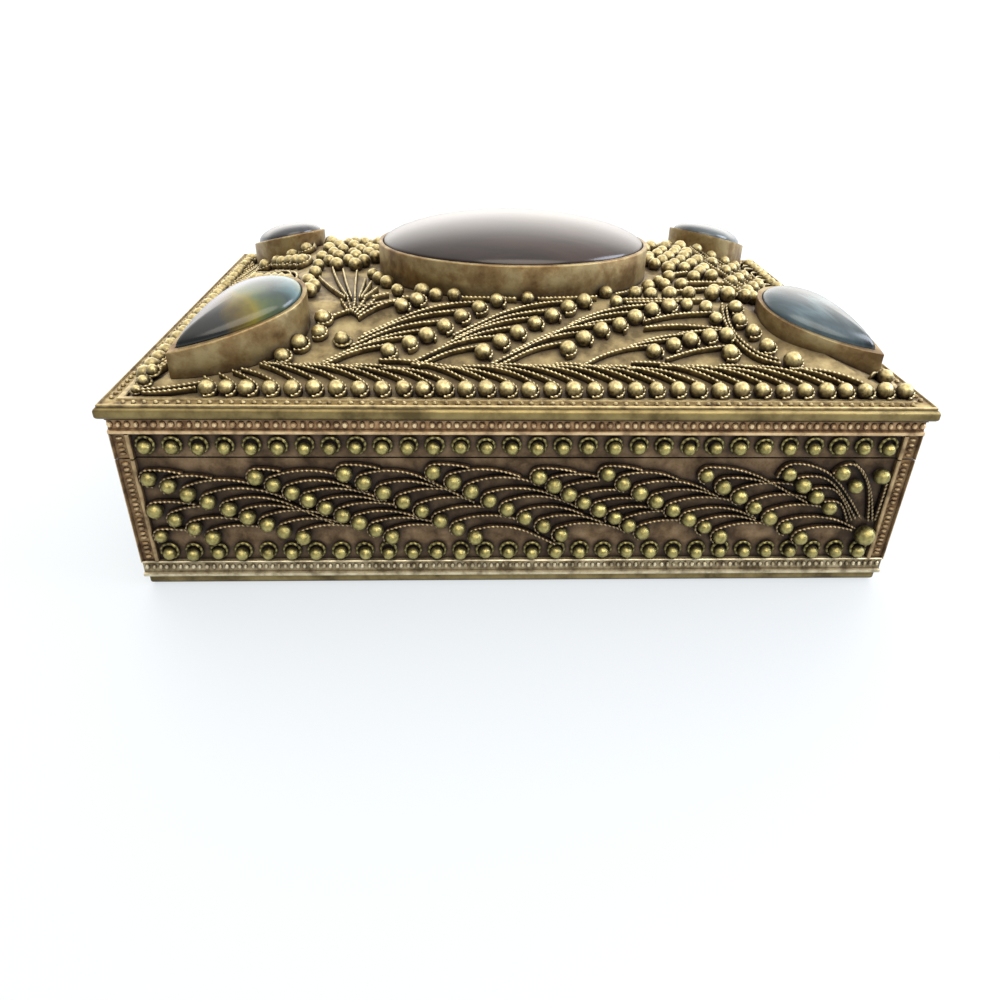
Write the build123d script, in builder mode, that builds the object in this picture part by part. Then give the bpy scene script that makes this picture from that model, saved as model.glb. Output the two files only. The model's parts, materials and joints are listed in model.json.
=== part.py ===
from build123d import *
from math import asin, atan, atan2, cos, degrees, hypot, radians, sin, sqrt
import os

# Trinket box of sheet brass with soldered filigree, framed in beaded strip.
# The lid is a low hipped roof that carries one oval and four pear-shaped
# stones in plain bezels, and swings on a barrel hinge along the back.
# Origin: middle of the underside. X runs to the right, the front faces -Y.

# Box and lid plate
plate_width = 104.0
plate_depth = 74.6
plate_thickness = 1.5
plate_edge_round = 0.5
plate_overhang = 0.8
body_height = 19.4
seam_gap = 0.2
skirt_height = 5.7

# Sheet metal
wall_thickness = 1.0
base_thickness = 1.5
base_inset = 0.5
base_edge_round = 0.6
plate_land = 1.4

# Beaded strips
trim_thickness = 0.8
foot_strip_height = 2.5
skirt_strip_height = 2.1
skirt_strip_drop = 0.2
corner_strip_width = 2.4
strip_joint = 0.05
border_strip_width = 2.6
border_strip_inset = 0.4
border_strip_thickness = 0.4

# Hipped top of the lid
roof_gap = 0.1
roof_rise = 7.0
roof_run = 17.4
roof_sheet = 1.0

# Filigree
wire_width = 0.3
wire_height = 0.9
hook_gap = 0.08
clear_gap = 0.15
bead_lift = 0.85
panel_bead_radius = 1.05
panel_chain_pitch = 11.7
panel_step_across = 2.55
panel_step_down = 1.42
lid_bead_radius = 1.1
lid_chain_pitch = 11.5
lid_chain_offset = 5.9
lid_chain_start = 8.1
lid_chain_beads = 7
lid_step_across = 2.45
lid_step_up = 1.73
foot_row_pitch = 2.65
foot_row_height = 1.25
hook_start = 15.0
straight_up = 90.0
chain_hook_end = straight_up
chain_tail_radius = 18.0
chain_tail_length = 7.2
row_hook_end = 55.0
row_tail_radius = 10.0
row_tail_length = 3.8
tail_samples = 8
same_place = 0.01

# Beads set in rings, in rows at the foot of the walls and on the skirt
rosette_radius = 1.3
rosette_height = 0.55
rosette_bead_radius = 0.85
rosette_bead_lift = 0.75
rosette_pitch = 3.25

# Stones and their bezels
bezel_wall = 0.7
bezel_ledge = 1.0
bezel_ledge_thickness = 0.8
stone_seat = 1.8
stone_gap = 0.05
oval_margin = 1.2
oval_proportion = 1.327
oval_bezel_height = 4.9
oval_dome = 4.2
pear_bezel_height = 3.4
pear_dome = 2.2
pear_shoulder = 100.0
pear_fullness = 0.8
stone_row_gap = 0.45
dome_scales = (1.0, 0.94, 0.8, 0.55, 0.25)
crown_pitch = 2.75

# Each pear: tip in from the right or left edge of the plate, tip in from the
# front or back edge, angle of its axis in plan, length, radius of the round end
PEARS = {
    "front_left": (7.6, 6.2, 45.0, 20.8, 6.6),
    "front_right": (3.4, 10.7, 43.0, 19.2, 6.6),
    "back_left": (5.6, 8.6, 40.0, 16.7, 5.8),
    "back_right": (5.4, 5.6, 39.0, 19.8, 6.3),
}
CORNERS = {
    "front_left": (-1, -1),
    "front_right": (1, -1),
    "back_left": (-1, 1),
    "back_right": (1, 1),
}

# Hinge
hinge_length = 30.0
hinge_knuckles = 5
knuckle_gap = 0.15
barrel_radius = 1.5
barrel_gap = 0.15
pin_radius = 0.6
pin_gap = 0.05
pin_head_radius = 1.0
pin_head_thickness = 0.4
leaf_thickness = 0.8
leaf_height = 5.5
leaf_clearance = 0.2

# Linings
lining_gap = 0.2
floor_lining_thickness = 1.2
wall_lining_thickness = 0.9
wall_lining_drop = 0.5
lid_lining_thickness = 1.2

# Sizes that follow
body_width = plate_width - 2 * plate_overhang
body_depth = plate_depth - 2 * plate_overhang
wall_width = body_width - 2 * trim_thickness
wall_depth = body_depth - 2 * trim_thickness
inner_width = wall_width - 2 * wall_thickness
inner_depth = wall_depth - 2 * wall_thickness
seam_height = body_height + seam_gap
plate_bottom = seam_height + skirt_height
plate_top = plate_bottom + plate_thickness
foot_strip_top = base_thickness + foot_strip_height
skirt_strip_top = plate_bottom - skirt_strip_drop
skirt_strip_bottom = skirt_strip_top - skirt_strip_height
foot_inset = border_strip_inset + border_strip_width + roof_gap
roof_width = plate_width - 2 * foot_inset
roof_depth = plate_depth - 2 * foot_inset
roof_top = plate_top + roof_rise
crown_width = roof_width - 2 * roof_run
crown_depth = roof_depth - 2 * roof_run
oval_half_depth = crown_depth / 2 - oval_margin
oval_half_width = oval_half_depth * oval_proportion
slope_angle = atan(roof_rise / roof_run)
slope_length = hypot(roof_rise, roof_run)
hip_angle = atan(roof_rise / (roof_run * sqrt(2)))
hinge_y = wall_depth / 2 + barrel_radius + barrel_gap
hinge_z = body_height + seam_gap / 2
leaf_end = barrel_radius + leaf_clearance

# The four sides, as turns about Z from the front
SIDES = {"front": 0, "right": 90, "back": 180, "left": 270}

os.makedirs("parts", exist_ok=True)


def outward(side):
    turn = radians(SIDES[side])
    return Vector(sin(turn), -cos(turn), 0)


def along(side):
    turn = radians(SIDES[side])
    return Vector(cos(turn), sin(turn), 0)


def reach(side, width, depth):
    return depth / 2 if side in ("front", "back") else width / 2


def span(side, width, depth):
    return width if side in ("front", "back") else depth


# A wall's outer face, with Y up and its origin on the table
def wall_plane(side):
    origin = outward(side) * reach(side, wall_width, wall_depth)
    return Plane(origin=origin, x_dir=along(side), z_dir=outward(side))


# A slope of the lid, with Y up the slope and its origin at the foot
def slope_plane(side):
    origin = outward(side) * reach(side, roof_width, roof_depth) + Vector(0, 0, plate_top)
    normal = outward(side) * sin(slope_angle) + Vector(0, 0, cos(slope_angle))
    return Plane(origin=origin, x_dir=along(side), z_dir=normal)


# One flat piece on a wall's outer face, centred on the side
def wall_strip(side, length, bottom, height, thickness):
    with BuildPart() as strip:
        with BuildSketch(wall_plane(side)):
            with Locations((0, bottom + height / 2)):
                Rectangle(length, height)
        extrude(amount=thickness)
    return strip.part


# Outline of a wire on edge: a hook round a bead, then a long curved tail.
# The hand is 1 where the wire runs to the left and -1 where it runs right.
def wire_outline(x, y, hook_radius, hand, hook_end, tail_radius, tail_length):
    first = straight_up + hand * (hook_start - straight_up)
    bend = straight_up + hand * (hook_end - straight_up)
    hook_turn = hand * (hook_end - hook_start)
    tail_turn = hand * degrees(tail_length / tail_radius)
    tail_x = x + (hook_radius - tail_radius) * cos(radians(bend))
    tail_y = y + (hook_radius - tail_radius) * sin(radians(bend))
    half = wire_width / 2
    with BuildLine() as outline:
        inner_hook = CenterArc((x, y), hook_radius - half, first, hook_turn)
        outer_hook = CenterArc((x, y), hook_radius + half, first, hook_turn)
        inner_tail = CenterArc((tail_x, tail_y), tail_radius - half, bend, tail_turn)
        outer_tail = CenterArc((tail_x, tail_y), tail_radius + half, bend, tail_turn)
        Line(inner_hook @ 0, outer_hook @ 0)
        Line(inner_tail @ 1, outer_tail @ 1)
    make_face(outline.edges())


# Points along the middle of such a wire, from its bead to the end of its tail
def wire_points(x, y, hook_radius, hand, hook_end, tail_radius, tail_length):
    bend = straight_up + hand * (hook_end - straight_up)
    tail_x = x + (hook_radius - tail_radius) * cos(radians(bend))
    tail_y = y + (hook_radius - tail_radius) * sin(radians(bend))
    turn = hand * tail_length / tail_radius
    points = []
    for index in range(tail_samples + 1):
        angle = radians(bend) + turn * index / tail_samples
        points.append((tail_x + tail_radius * cos(angle), tail_y + tail_radius * sin(angle)))
    return points


# Keeps the wires whose whole tail has room between the edges and the beads
def wires_with_room(wires, beads, bead_radius, has_room):
    kept = []
    space = bead_radius + wire_width / 2 + hook_gap / 2
    for wire in wires:
        others = [bead for bead in beads if hypot(bead[0] - wire[0], bead[1] - wire[1]) > same_place]
        points = wire_points(*wire)
        free = all(has_room(point, wire_width / 2 + hook_gap) for point in points)
        apart = all(hypot(p[0] - b[0], p[1] - b[1]) >= space for p in points for b in others)
        if free and apart:
            kept.append(wire)
    return kept


# Beads soldered on a face: balls with a flat seat
def add_beads(points, radius):
    with Locations(*points):
        Sphere(
            radius,
            arc_size1=-degrees(asin(bead_lift / radius)),
            align=(Align.CENTER, Align.CENTER, Align.MIN),
        )


# Places of a row of ring-set beads between the corner strips of one side
def rosette_places(side, height, skip_hinge):
    run = span(side, body_width, body_depth) - 2 * corner_strip_width - 2 * clear_gap
    count = int((run - 2 * rosette_radius) / rosette_pitch) + 1
    hinge_room = hinge_length / 2 + rosette_radius + clear_gap
    row = [(index - (count - 1) / 2) * rosette_pitch for index in range(count)]
    return [(x, height, 0) for x in row if not skip_hinge or abs(x) > hinge_room]


# Beads in rings: a low disc with a ball let into it
def add_rosettes(points):
    with Locations(*points):
        Cylinder(rosette_radius, rosette_height, align=(Align.CENTER, Align.CENTER, Align.MIN))
        Sphere(
            rosette_bead_radius,
            arc_size1=-degrees(asin(rosette_bead_lift / rosette_bead_radius)),
            align=(Align.CENTER, Align.CENTER, Align.MIN),
        )


# Box: base and walls
with BuildPart() as base_plate:
    with BuildSketch():
        Rectangle(body_width - 2 * base_inset, body_depth - 2 * base_inset)
    extrude(amount=base_thickness)
    fillet(base_plate.edges().group_by(Axis.Z)[0], base_edge_round)
base_plate.part.label = "base_plate"
export_step(base_plate.part, "parts/base_plate.step")

for side in SIDES:
    length = span(side, wall_width, inner_depth)
    wall = wall_strip(side, length, base_thickness, body_height - base_thickness, -wall_thickness)
    wall.label = f"{side}_wall"
    export_step(wall, f"parts/{side}_wall.step")

    length = span(side, body_width, wall_depth)
    strip = wall_strip(side, length, base_thickness, foot_strip_height, trim_thickness)
    strip.label = f"{side}_foot_strip"
    export_step(strip, f"parts/{side}_foot_strip.step")


# Beaded angles up the four corners
def corner_angles(bottom, top):
    with BuildPart() as angles:
        with BuildSketch(Plane.XY.offset(bottom)):
            Rectangle(body_width, body_depth)
            Rectangle(wall_width, wall_depth, mode=Mode.SUBTRACT)
            Rectangle(body_width - 2 * corner_strip_width, body_depth, mode=Mode.SUBTRACT)
            Rectangle(body_width, body_depth - 2 * corner_strip_width, mode=Mode.SUBTRACT)
        extrude(amount=top - bottom)
    return angles.part


body_corner_strips = corner_angles(foot_strip_top + strip_joint, body_height)
body_corner_strips.label = "body_corner_strips"
export_step(body_corner_strips, "parts/body_corner_strips.step")

# Filigree of the walls: chains of beads that run down to the right, with a
# wire hooked over each bead
rosette_row = foot_strip_top + rosette_radius + clear_gap
field_bottom = rosette_row + rosette_radius + clear_gap
panel_hook = panel_bead_radius + hook_gap + wire_width / 2
field_top = body_height - clear_gap
leaf_bottom = hinge_z - leaf_end - leaf_height


def panel_room(side):
    half = span(side, body_width, body_depth) / 2 - corner_strip_width

    def has_room(point, margin):
        x, z = point
        inside = abs(x) <= half - margin and field_bottom + margin <= z <= field_top - margin
        near_leaf = abs(x) < hinge_length / 2 + margin and z > leaf_bottom - margin
        return inside and not (side == "back" and near_leaf)

    return has_room


for side in SIDES:
    has_room = panel_room(side)
    half = span(side, body_width, body_depth) / 2 - corner_strip_width
    first_x = -half + panel_hook + wire_width
    first_z = field_top - panel_hook - wire_width
    chain_beads = int((first_z - field_bottom) / panel_step_down) + 1
    points = []
    for chain in range(-1, int(2 * half / panel_chain_pitch) + 1):
        for index in range(chain_beads):
            x = first_x + chain * panel_chain_pitch + index * panel_step_across
            z = first_z - index * panel_step_down
            if has_room((x, z), panel_bead_radius):
                points.append((x, z))
    wires = [
        (x, z, panel_hook, -1, chain_hook_end, chain_tail_radius, chain_tail_length)
        for x, z in points
    ]
    wires = wires_with_room(wires, points, panel_bead_radius, has_room)

    with BuildPart(wall_plane(side)) as panel_beads:
        add_beads([(x, z, 0) for x, z in points], panel_bead_radius)
    panel_beads.part.label = f"{side}_panel_beads"
    export_step(panel_beads.part, f"parts/{side}_panel_beads.step")

    with BuildPart() as panel_wires:
        with BuildSketch(wall_plane(side)):
            for wire in wires:
                wire_outline(*wire)
        extrude(amount=wire_height)
    panel_wires.part.label = f"{side}_panel_wires"
    export_step(panel_wires.part, f"parts/{side}_panel_wires.step")

with BuildPart() as foot_rosettes:
    for side in SIDES:
        with Locations(wall_plane(side)):
            add_rosettes(rosette_places(side, rosette_row, False))
foot_rosettes.part.label = "foot_rosettes"
export_step(foot_rosettes.part, "parts/foot_rosettes.step")

skirt_row = (seam_height + skirt_strip_bottom) / 2
with BuildPart() as skirt_rosettes:
    for side in SIDES:
        with Locations(wall_plane(side)):
            add_rosettes(rosette_places(side, skirt_row, side == "back"))
skirt_rosettes.part.label = "skirt_rosettes"
export_step(skirt_rosettes.part, "parts/skirt_rosettes.step")

# Lid: skirt, plate and border
for side in SIDES:
    length = span(side, wall_width, inner_depth)
    skirt = wall_strip(side, length, seam_height, skirt_height, -wall_thickness)
    skirt.label = f"{side}_skirt"
    export_step(skirt, f"parts/{side}_skirt.step")

    length = span(side, body_width, wall_depth)
    strip = wall_strip(side, length, skirt_strip_bottom, skirt_strip_height, trim_thickness)
    strip.label = f"{side}_skirt_strip"
    export_step(strip, f"parts/{side}_skirt_strip.step")

lid_corner_strips = corner_angles(seam_height, skirt_strip_bottom - strip_joint)
lid_corner_strips.label = "lid_corner_strips"
export_step(lid_corner_strips, "parts/lid_corner_strips.step")

with BuildPart() as lid_plate:
    with BuildSketch(Plane.XY.offset(plate_bottom)):
        Rectangle(plate_width, plate_depth)
        Rectangle(roof_width - 2 * plate_land, roof_depth - 2 * plate_land, mode=Mode.SUBTRACT)
    extrude(amount=plate_thickness)
    outer_edges = lid_plate.faces().sort_by(Axis.Y)[0].edges().filter_by(Axis.X)
    outer_edges += lid_plate.faces().sort_by(Axis.Y)[-1].edges().filter_by(Axis.X)
    outer_edges += lid_plate.faces().sort_by(Axis.X)[0].edges().filter_by(Axis.Y)
    outer_edges += lid_plate.faces().sort_by(Axis.X)[-1].edges().filter_by(Axis.Y)
    fillet(outer_edges, plate_edge_round)
lid_plate.part.label = "lid_plate"
export_step(lid_plate.part, "parts/lid_plate.step")

border_width = plate_width - 2 * border_strip_inset
border_depth = plate_depth - 2 * border_strip_inset
mitre_length = 2 * sqrt(2) * border_strip_width + strip_joint
with BuildPart() as border_strips:
    with BuildSketch(Plane.XY.offset(plate_top)):
        Rectangle(border_width, border_depth)
        Rectangle(
            border_width - 2 * border_strip_width,
            border_depth - 2 * border_strip_width,
            mode=Mode.SUBTRACT,
        )
        for x_side, y_side in CORNERS.values():
            with Locations((x_side * border_width / 2, y_side * border_depth / 2)):
                Rectangle(
                    mitre_length,
                    strip_joint,
                    rotation=45 * x_side * y_side,
                    mode=Mode.SUBTRACT,
                )
    extrude(amount=border_strip_thickness)
border_strips.part.label = "border_strips"
export_step(border_strips.part, "parts/border_strips.step")

# Lid: hipped top, raised from one sheet
with BuildPart() as roof_block:
    with BuildSketch(Plane.XY.offset(plate_top)):
        Rectangle(roof_width, roof_depth)
    with BuildSketch(Plane.XY.offset(roof_top)):
        Rectangle(crown_width, crown_depth)
    loft()

with BuildPart() as lid_top:
    add(roof_block.part)
    offset(amount=-roof_sheet, openings=lid_top.faces().sort_by(Axis.Z)[0])
lid_top.part.label = "lid_top"
export_step(lid_top.part, "parts/lid_top.step")


# Height of the hipped top at a place in plan
def roof_height(x, y):
    from_edge = min(roof_width / 2 - abs(x), roof_depth / 2 - abs(y))
    return plate_top + roof_rise * min(max(from_edge, 0) / roof_run, 1)


# Tip of a pear, and the direction of its axis, in plan
def pear_tip(corner):
    x_inset, y_inset, turn = PEARS[corner][:3]
    x_side, y_side = CORNERS[corner]
    tip = (x_side * (plate_width / 2 - x_inset), y_side * (plate_depth / 2 - y_inset))
    axis = (-x_side * cos(radians(turn)), -y_side * sin(radians(turn)))
    return tip, axis


# Distance from a place in plan to the side of a pear's bezel
def pear_distance(corner, x, y):
    length, radius = PEARS[corner][3:]
    tip, axis = pear_tip(corner)
    centre = length - radius
    ahead = (x - tip[0]) * axis[0] + (y - tip[1]) * axis[1]
    aside = (x - tip[0]) * axis[1] - (y - tip[1]) * axis[0]
    place = min(max(ahead, 0), centre)
    half = radius * sin(radians(90 * place / centre)) ** pear_fullness
    return hypot(ahead - place, aside) - half


def oval_distance(x, y):
    size = hypot(x / oval_half_width, y / oval_half_depth)
    return (size - 1) * min(oval_half_width, oval_half_depth)


# Beads in a row round the end of each pear, in plan
def stone_row():
    points = []
    for corner in PEARS:
        tip, axis = pear_tip(corner)
        length, radius = PEARS[corner][3:]
        ring = radius + stone_row_gap + lid_bead_radius
        step = foot_row_pitch / ring
        count = int(radians(180) / step)
        for index in range(count + 1):
            angle = atan2(axis[1], axis[0]) + (index - count / 2) * step
            x = tip[0] + axis[0] * (length - radius) + ring * cos(angle)
            y = tip[1] + axis[1] * (length - radius) + ring * sin(angle)
            points.append((x, y))
    return points


# Place on a slope of the lid, from a place in plan
def slope_place(side, x, y):
    u = x * along(side).X + y * along(side).Y
    out = x * outward(side).X + y * outward(side).Y
    return u, (reach(side, roof_width, roof_depth) - out) / cos(slope_angle)


# The same for the middle of a bead, which stands off the slope
def bead_place(side, u, v):
    out = reach(side, roof_width, roof_depth) - v * cos(slope_angle)
    out += bead_lift * sin(slope_angle)
    place = along(side) * u + outward(side) * out
    return place.X, place.Y


def stones_clear(x, y, margin):
    pears_clear = all(pear_distance(corner, x, y) >= margin for corner in PEARS)
    return pears_clear and oval_distance(x, y) >= margin


def slope_room(side):
    foot_half = span(side, roof_width, roof_depth) / 2

    def has_room(point, margin):
        u, v = point
        hip = foot_half - v * cos(slope_angle) - margin * sqrt(2)
        inside = margin <= v <= slope_length - margin and abs(u) <= hip
        return inside and stones_clear(*bead_place(side, u, v), margin + clear_gap)

    return has_room


# Adds the places that keep their distance from those already taken
def take_places(taken, places, spacing):
    for place in places:
        if all(hypot(place[0] - other[0], place[1] - other[1]) >= spacing for other in taken):
            taken.append(place)


# Filigree of the lid: a row of beads along the foot of each slope, chains
# that climb to the right above it, and a row round the end of each pear
lid_hook = lid_bead_radius + hook_gap + wire_width / 2
bead_spacing = 2 * lid_bead_radius + clear_gap
for side in SIDES:
    has_room = slope_room(side)
    half = span(side, roof_width, roof_depth) / 2
    row_count = int((half - lid_bead_radius) / foot_row_pitch)
    foot_row = [(i * foot_row_pitch, foot_row_height) for i in range(-row_count, row_count + 1)]
    chains = []
    chain_count = int(half / lid_chain_pitch) + 2
    for chain in range(-chain_count, chain_count):
        for index in range(lid_chain_beads):
            u = lid_chain_offset + chain * lid_chain_pitch + index * lid_step_across
            chains.append((u, lid_chain_start + index * lid_step_up))
    row = [slope_place(side, x, y) for x, y in stone_row()]
    points = []
    for places in (row, foot_row, chains):
        with_room = [place for place in places if has_room(place, lid_bead_radius)]
        take_places(points, with_room, bead_spacing)
    wires = [
        (u, v, lid_hook, 1, row_hook_end, row_tail_radius, row_tail_length)
        for u, v in points
        if v == foot_row_height
    ]
    wires += [
        (u, v, lid_hook, 1, chain_hook_end, chain_tail_radius, chain_tail_length)
        for u, v in points
        if (u, v) in chains
    ]
    wires = wires_with_room(wires, points, lid_bead_radius, has_room)

    with BuildPart(slope_plane(side)) as slope_beads:
        add_beads([(u, v, 0) for u, v in points], lid_bead_radius)
    slope_beads.part.label = f"{side}_slope_beads"
    export_step(slope_beads.part, f"parts/{side}_slope_beads.step")

    with BuildPart() as slope_wires:
        with BuildSketch(slope_plane(side)):
            for wire in wires:
                wire_outline(*wire)
        extrude(amount=wire_height)
    slope_wires.part.label = f"{side}_slope_wires"
    export_step(slope_wires.part, f"parts/{side}_slope_wires.step")

# Crown: a close field of beads on the flat top, round the oval
crown_points = []
column_count = int(crown_width / crown_pitch / 2) + 1
crown_row_pitch = crown_pitch * sqrt(3) / 2
row_count = int(crown_depth / crown_row_pitch / 2) + 1
field = [
    ((column + (row % 2) / 2) * crown_pitch, row * crown_row_pitch)
    for row in range(-row_count, row_count + 1)
    for column in range(-column_count, column_count + 1)
]
for places in (stone_row(), field):
    with_room = [
        (x, y)
        for x, y in places
        if abs(x) <= crown_width / 2 - lid_bead_radius
        and abs(y) <= crown_depth / 2 - lid_bead_radius
        and stones_clear(x, y, lid_bead_radius + clear_gap)
    ]
    take_places(crown_points, with_room, bead_spacing)
with BuildPart(Plane.XY.offset(roof_top)) as crown_beads:
    add_beads([(x, y, 0) for x, y in crown_points], lid_bead_radius)
crown_beads.part.label = "crown_beads"
export_step(crown_beads.part, "parts/crown_beads.step")


# Outline of a pear with its tip at the origin and its axis along X, drawn
# smaller or larger about the middle of its round end
def pear_outline(corner, scale):
    length, radius = PEARS[corner][3:]
    centre = length - radius
    tip = centre * (1 - scale)
    size = radius * scale
    turn = radians(pear_shoulder)
    across = size * sin(turn)
    shoulder = centre + size * cos(turn)
    with BuildLine() as outline:
        CenterArc((centre, 0), size, -pear_shoulder, 2 * pear_shoulder)
        TangentArc((shoulder, across), (tip, 0), tangent=(-sin(turn), cos(turn)))
        TangentArc((shoulder, -across), (tip, 0), tangent=(-sin(turn), -cos(turn)))
    make_face(outline.edges())


# Plane of a pear's rim, parallel to the hip under it, or that much lower
def pear_plane(corner, drop=0):
    tip, axis = pear_tip(corner)
    rise, flat = sin(hip_angle), cos(hip_angle)
    height = roof_height(*tip) + pear_bezel_height - drop
    return Plane(
        origin=(tip[0], tip[1], height),
        x_dir=(axis[0] * flat, axis[1] * flat, rise),
        z_dir=(-axis[0] * rise, -axis[1] * rise, flat),
    )


# Oval stone and its bezel
rim_plane = Plane.XY.offset(roof_top + oval_bezel_height)
ledge_plane = rim_plane.offset(-stone_seat)
with BuildPart() as oval_bezel:
    with BuildSketch(Plane.XY.offset(roof_top)):
        Ellipse(oval_half_width, oval_half_depth)
        Ellipse(oval_half_width - bezel_wall, oval_half_depth - bezel_wall, mode=Mode.SUBTRACT)
    extrude(amount=oval_bezel_height)
    ledge = bezel_wall + bezel_ledge
    with BuildSketch(ledge_plane):
        Ellipse(oval_half_width - bezel_wall / 2, oval_half_depth - bezel_wall / 2)
        Ellipse(oval_half_width - ledge, oval_half_depth - ledge, mode=Mode.SUBTRACT)
    extrude(amount=-bezel_ledge_thickness)
oval_bezel.part.label = "oval_bezel"
export_step(oval_bezel.part, "parts/oval_bezel.step")

stone_inset = bezel_wall + stone_gap
with BuildPart() as oval_stone:
    with BuildSketch(ledge_plane):
        Ellipse(oval_half_width - stone_inset, oval_half_depth - stone_inset)
    extrude(amount=stone_seat)
    for scale in dome_scales:
        with BuildSketch(rim_plane.offset(oval_dome * sqrt(1 - scale**2))):
            Ellipse(
                (oval_half_width - stone_inset) * scale,
                (oval_half_depth - stone_inset) * scale,
            )
    loft(ruled=True)
oval_stone.part.label = "oval_stone"
export_step(oval_stone.part, "parts/oval_stone.step")

# Pears and their bezels: upright walls that end on the hipped top
down = (0, 0, -1)
bezel_depth = pear_bezel_height + roof_rise
for corner in PEARS:
    radius = PEARS[corner][4]
    rim = pear_plane(corner)
    with BuildPart() as bezel:
        with BuildSketch(rim):
            pear_outline(corner, 1)
        extrude(amount=bezel_depth, dir=down)
        with BuildSketch(rim):
            pear_outline(corner, 1 - (bezel_wall + bezel_ledge) / radius)
        extrude(amount=bezel_depth, dir=down, mode=Mode.SUBTRACT)
        with BuildSketch(rim):
            pear_outline(corner, 1 - bezel_wall / radius)
        extrude(amount=stone_seat, dir=down, mode=Mode.SUBTRACT)
        with BuildSketch(pear_plane(corner, stone_seat + bezel_ledge_thickness)):
            pear_outline(corner, 1 - bezel_wall / radius)
        extrude(amount=bezel_depth, dir=down, mode=Mode.SUBTRACT)
        add(roof_block.part, mode=Mode.SUBTRACT)
        with BuildSketch(Plane.XY.offset(plate_top)):
            Rectangle(plate_width, plate_depth)
        extrude(amount=bezel_depth, dir=down, mode=Mode.SUBTRACT)
    bezel.part.label = f"{corner}_bezel"
    export_step(bezel.part, f"parts/{corner}_bezel.step")

    with BuildPart() as stone:
        with BuildSketch(pear_plane(corner, stone_seat)):
            pear_outline(corner, 1 - stone_inset / radius)
        extrude(amount=stone_seat, dir=(0, 0, 1))
        for scale in dome_scales:
            with BuildSketch(rim.offset(pear_dome * sqrt(1 - scale**2))):
                pear_outline(corner, scale * (1 - stone_inset / radius))
        loft(ruled=True)
    stone.part.label = f"{corner}_stone"
    export_step(stone.part, f"parts/{corner}_stone.step")

# Hinge: two leaves with alternate knuckles, and the pin through them
knuckle_length = (hinge_length - (hinge_knuckles - 1) * knuckle_gap) / hinge_knuckles


def hinge_leaf(first_knuckle, near_edge, far_edge):
    with BuildPart() as leaf:
        with BuildSketch(wall_plane("back")):
            with Locations((0, (near_edge + far_edge) / 2)):
                Rectangle(hinge_length, abs(far_edge - near_edge))
        extrude(amount=leaf_thickness)
        for index in range(first_knuckle, hinge_knuckles, 2):
            start = -hinge_length / 2 + index * (knuckle_length + knuckle_gap)
            with BuildSketch(Plane.YZ.offset(start)):
                with Locations((hinge_y, hinge_z)):
                    Circle(barrel_radius)
                with Locations(((wall_depth + leaf_thickness) / 2, (near_edge + hinge_z) / 2)):
                    Rectangle(leaf_thickness, abs(near_edge - hinge_z))
                with Locations((hinge_y, hinge_z)):
                    Circle(pin_radius + pin_gap, mode=Mode.SUBTRACT)
            extrude(amount=knuckle_length)
    return leaf.part


hinge_body_leaf = hinge_leaf(0, hinge_z - leaf_end, leaf_bottom)
hinge_body_leaf.label = "hinge_body_leaf"
export_step(hinge_body_leaf, "parts/hinge_body_leaf.step")

hinge_lid_leaf = hinge_leaf(1, hinge_z + leaf_end, skirt_strip_bottom - strip_joint)
hinge_lid_leaf.label = "hinge_lid_leaf"
export_step(hinge_lid_leaf, "parts/hinge_lid_leaf.step")

with BuildPart() as hinge_pin:
    with BuildSketch(Plane.YZ.offset(-hinge_length / 2 - knuckle_gap)):
        with Locations((hinge_y, hinge_z)):
            Circle(pin_radius)
    extrude(amount=hinge_length + 2 * knuckle_gap)
    with BuildSketch(Plane.YZ.offset(hinge_length / 2 + knuckle_gap)):
        with Locations((hinge_y, hinge_z)):
            Circle(pin_head_radius)
    extrude(amount=pin_head_thickness)
    with BuildSketch(Plane.YZ.offset(-hinge_length / 2 - knuckle_gap)):
        with Locations((hinge_y, hinge_z)):
            Circle(pin_head_radius)
    extrude(amount=-pin_head_thickness)
hinge_pin.part.label = "hinge_pin"
export_step(hinge_pin.part, "parts/hinge_pin.step")

# Linings of velvet over card
lining_width = inner_width - 2 * lining_gap
lining_depth = inner_depth - 2 * lining_gap
with BuildPart() as floor_lining:
    with BuildSketch(Plane.XY.offset(base_thickness)):
        Rectangle(lining_width, lining_depth)
    extrude(amount=floor_lining_thickness)
floor_lining.part.label = "floor_lining"
export_step(floor_lining.part, "parts/floor_lining.step")

floor_lining_top = base_thickness + floor_lining_thickness
with BuildPart() as wall_lining:
    with BuildSketch(Plane.XY.offset(floor_lining_top)):
        Rectangle(lining_width, lining_depth)
        Rectangle(
            lining_width - 2 * wall_lining_thickness,
            lining_depth - 2 * wall_lining_thickness,
            mode=Mode.SUBTRACT,
        )
    extrude(amount=body_height - wall_lining_drop - floor_lining_top)
wall_lining.part.label = "wall_lining"
export_step(wall_lining.part, "parts/wall_lining.step")

with BuildPart() as lid_lining:
    with BuildSketch(Plane.XY.offset(plate_bottom)):
        Rectangle(lining_width, lining_depth)
    extrude(amount=-lid_lining_thickness)
lid_lining.part.label = "lid_lining"
export_step(lid_lining.part, "parts/lid_lining.step")
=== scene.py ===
import json
import math
import random

import bmesh
import bpy
from mathutils import Matrix, Vector
from mathutils.geometry import intersect_point_line

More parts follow.
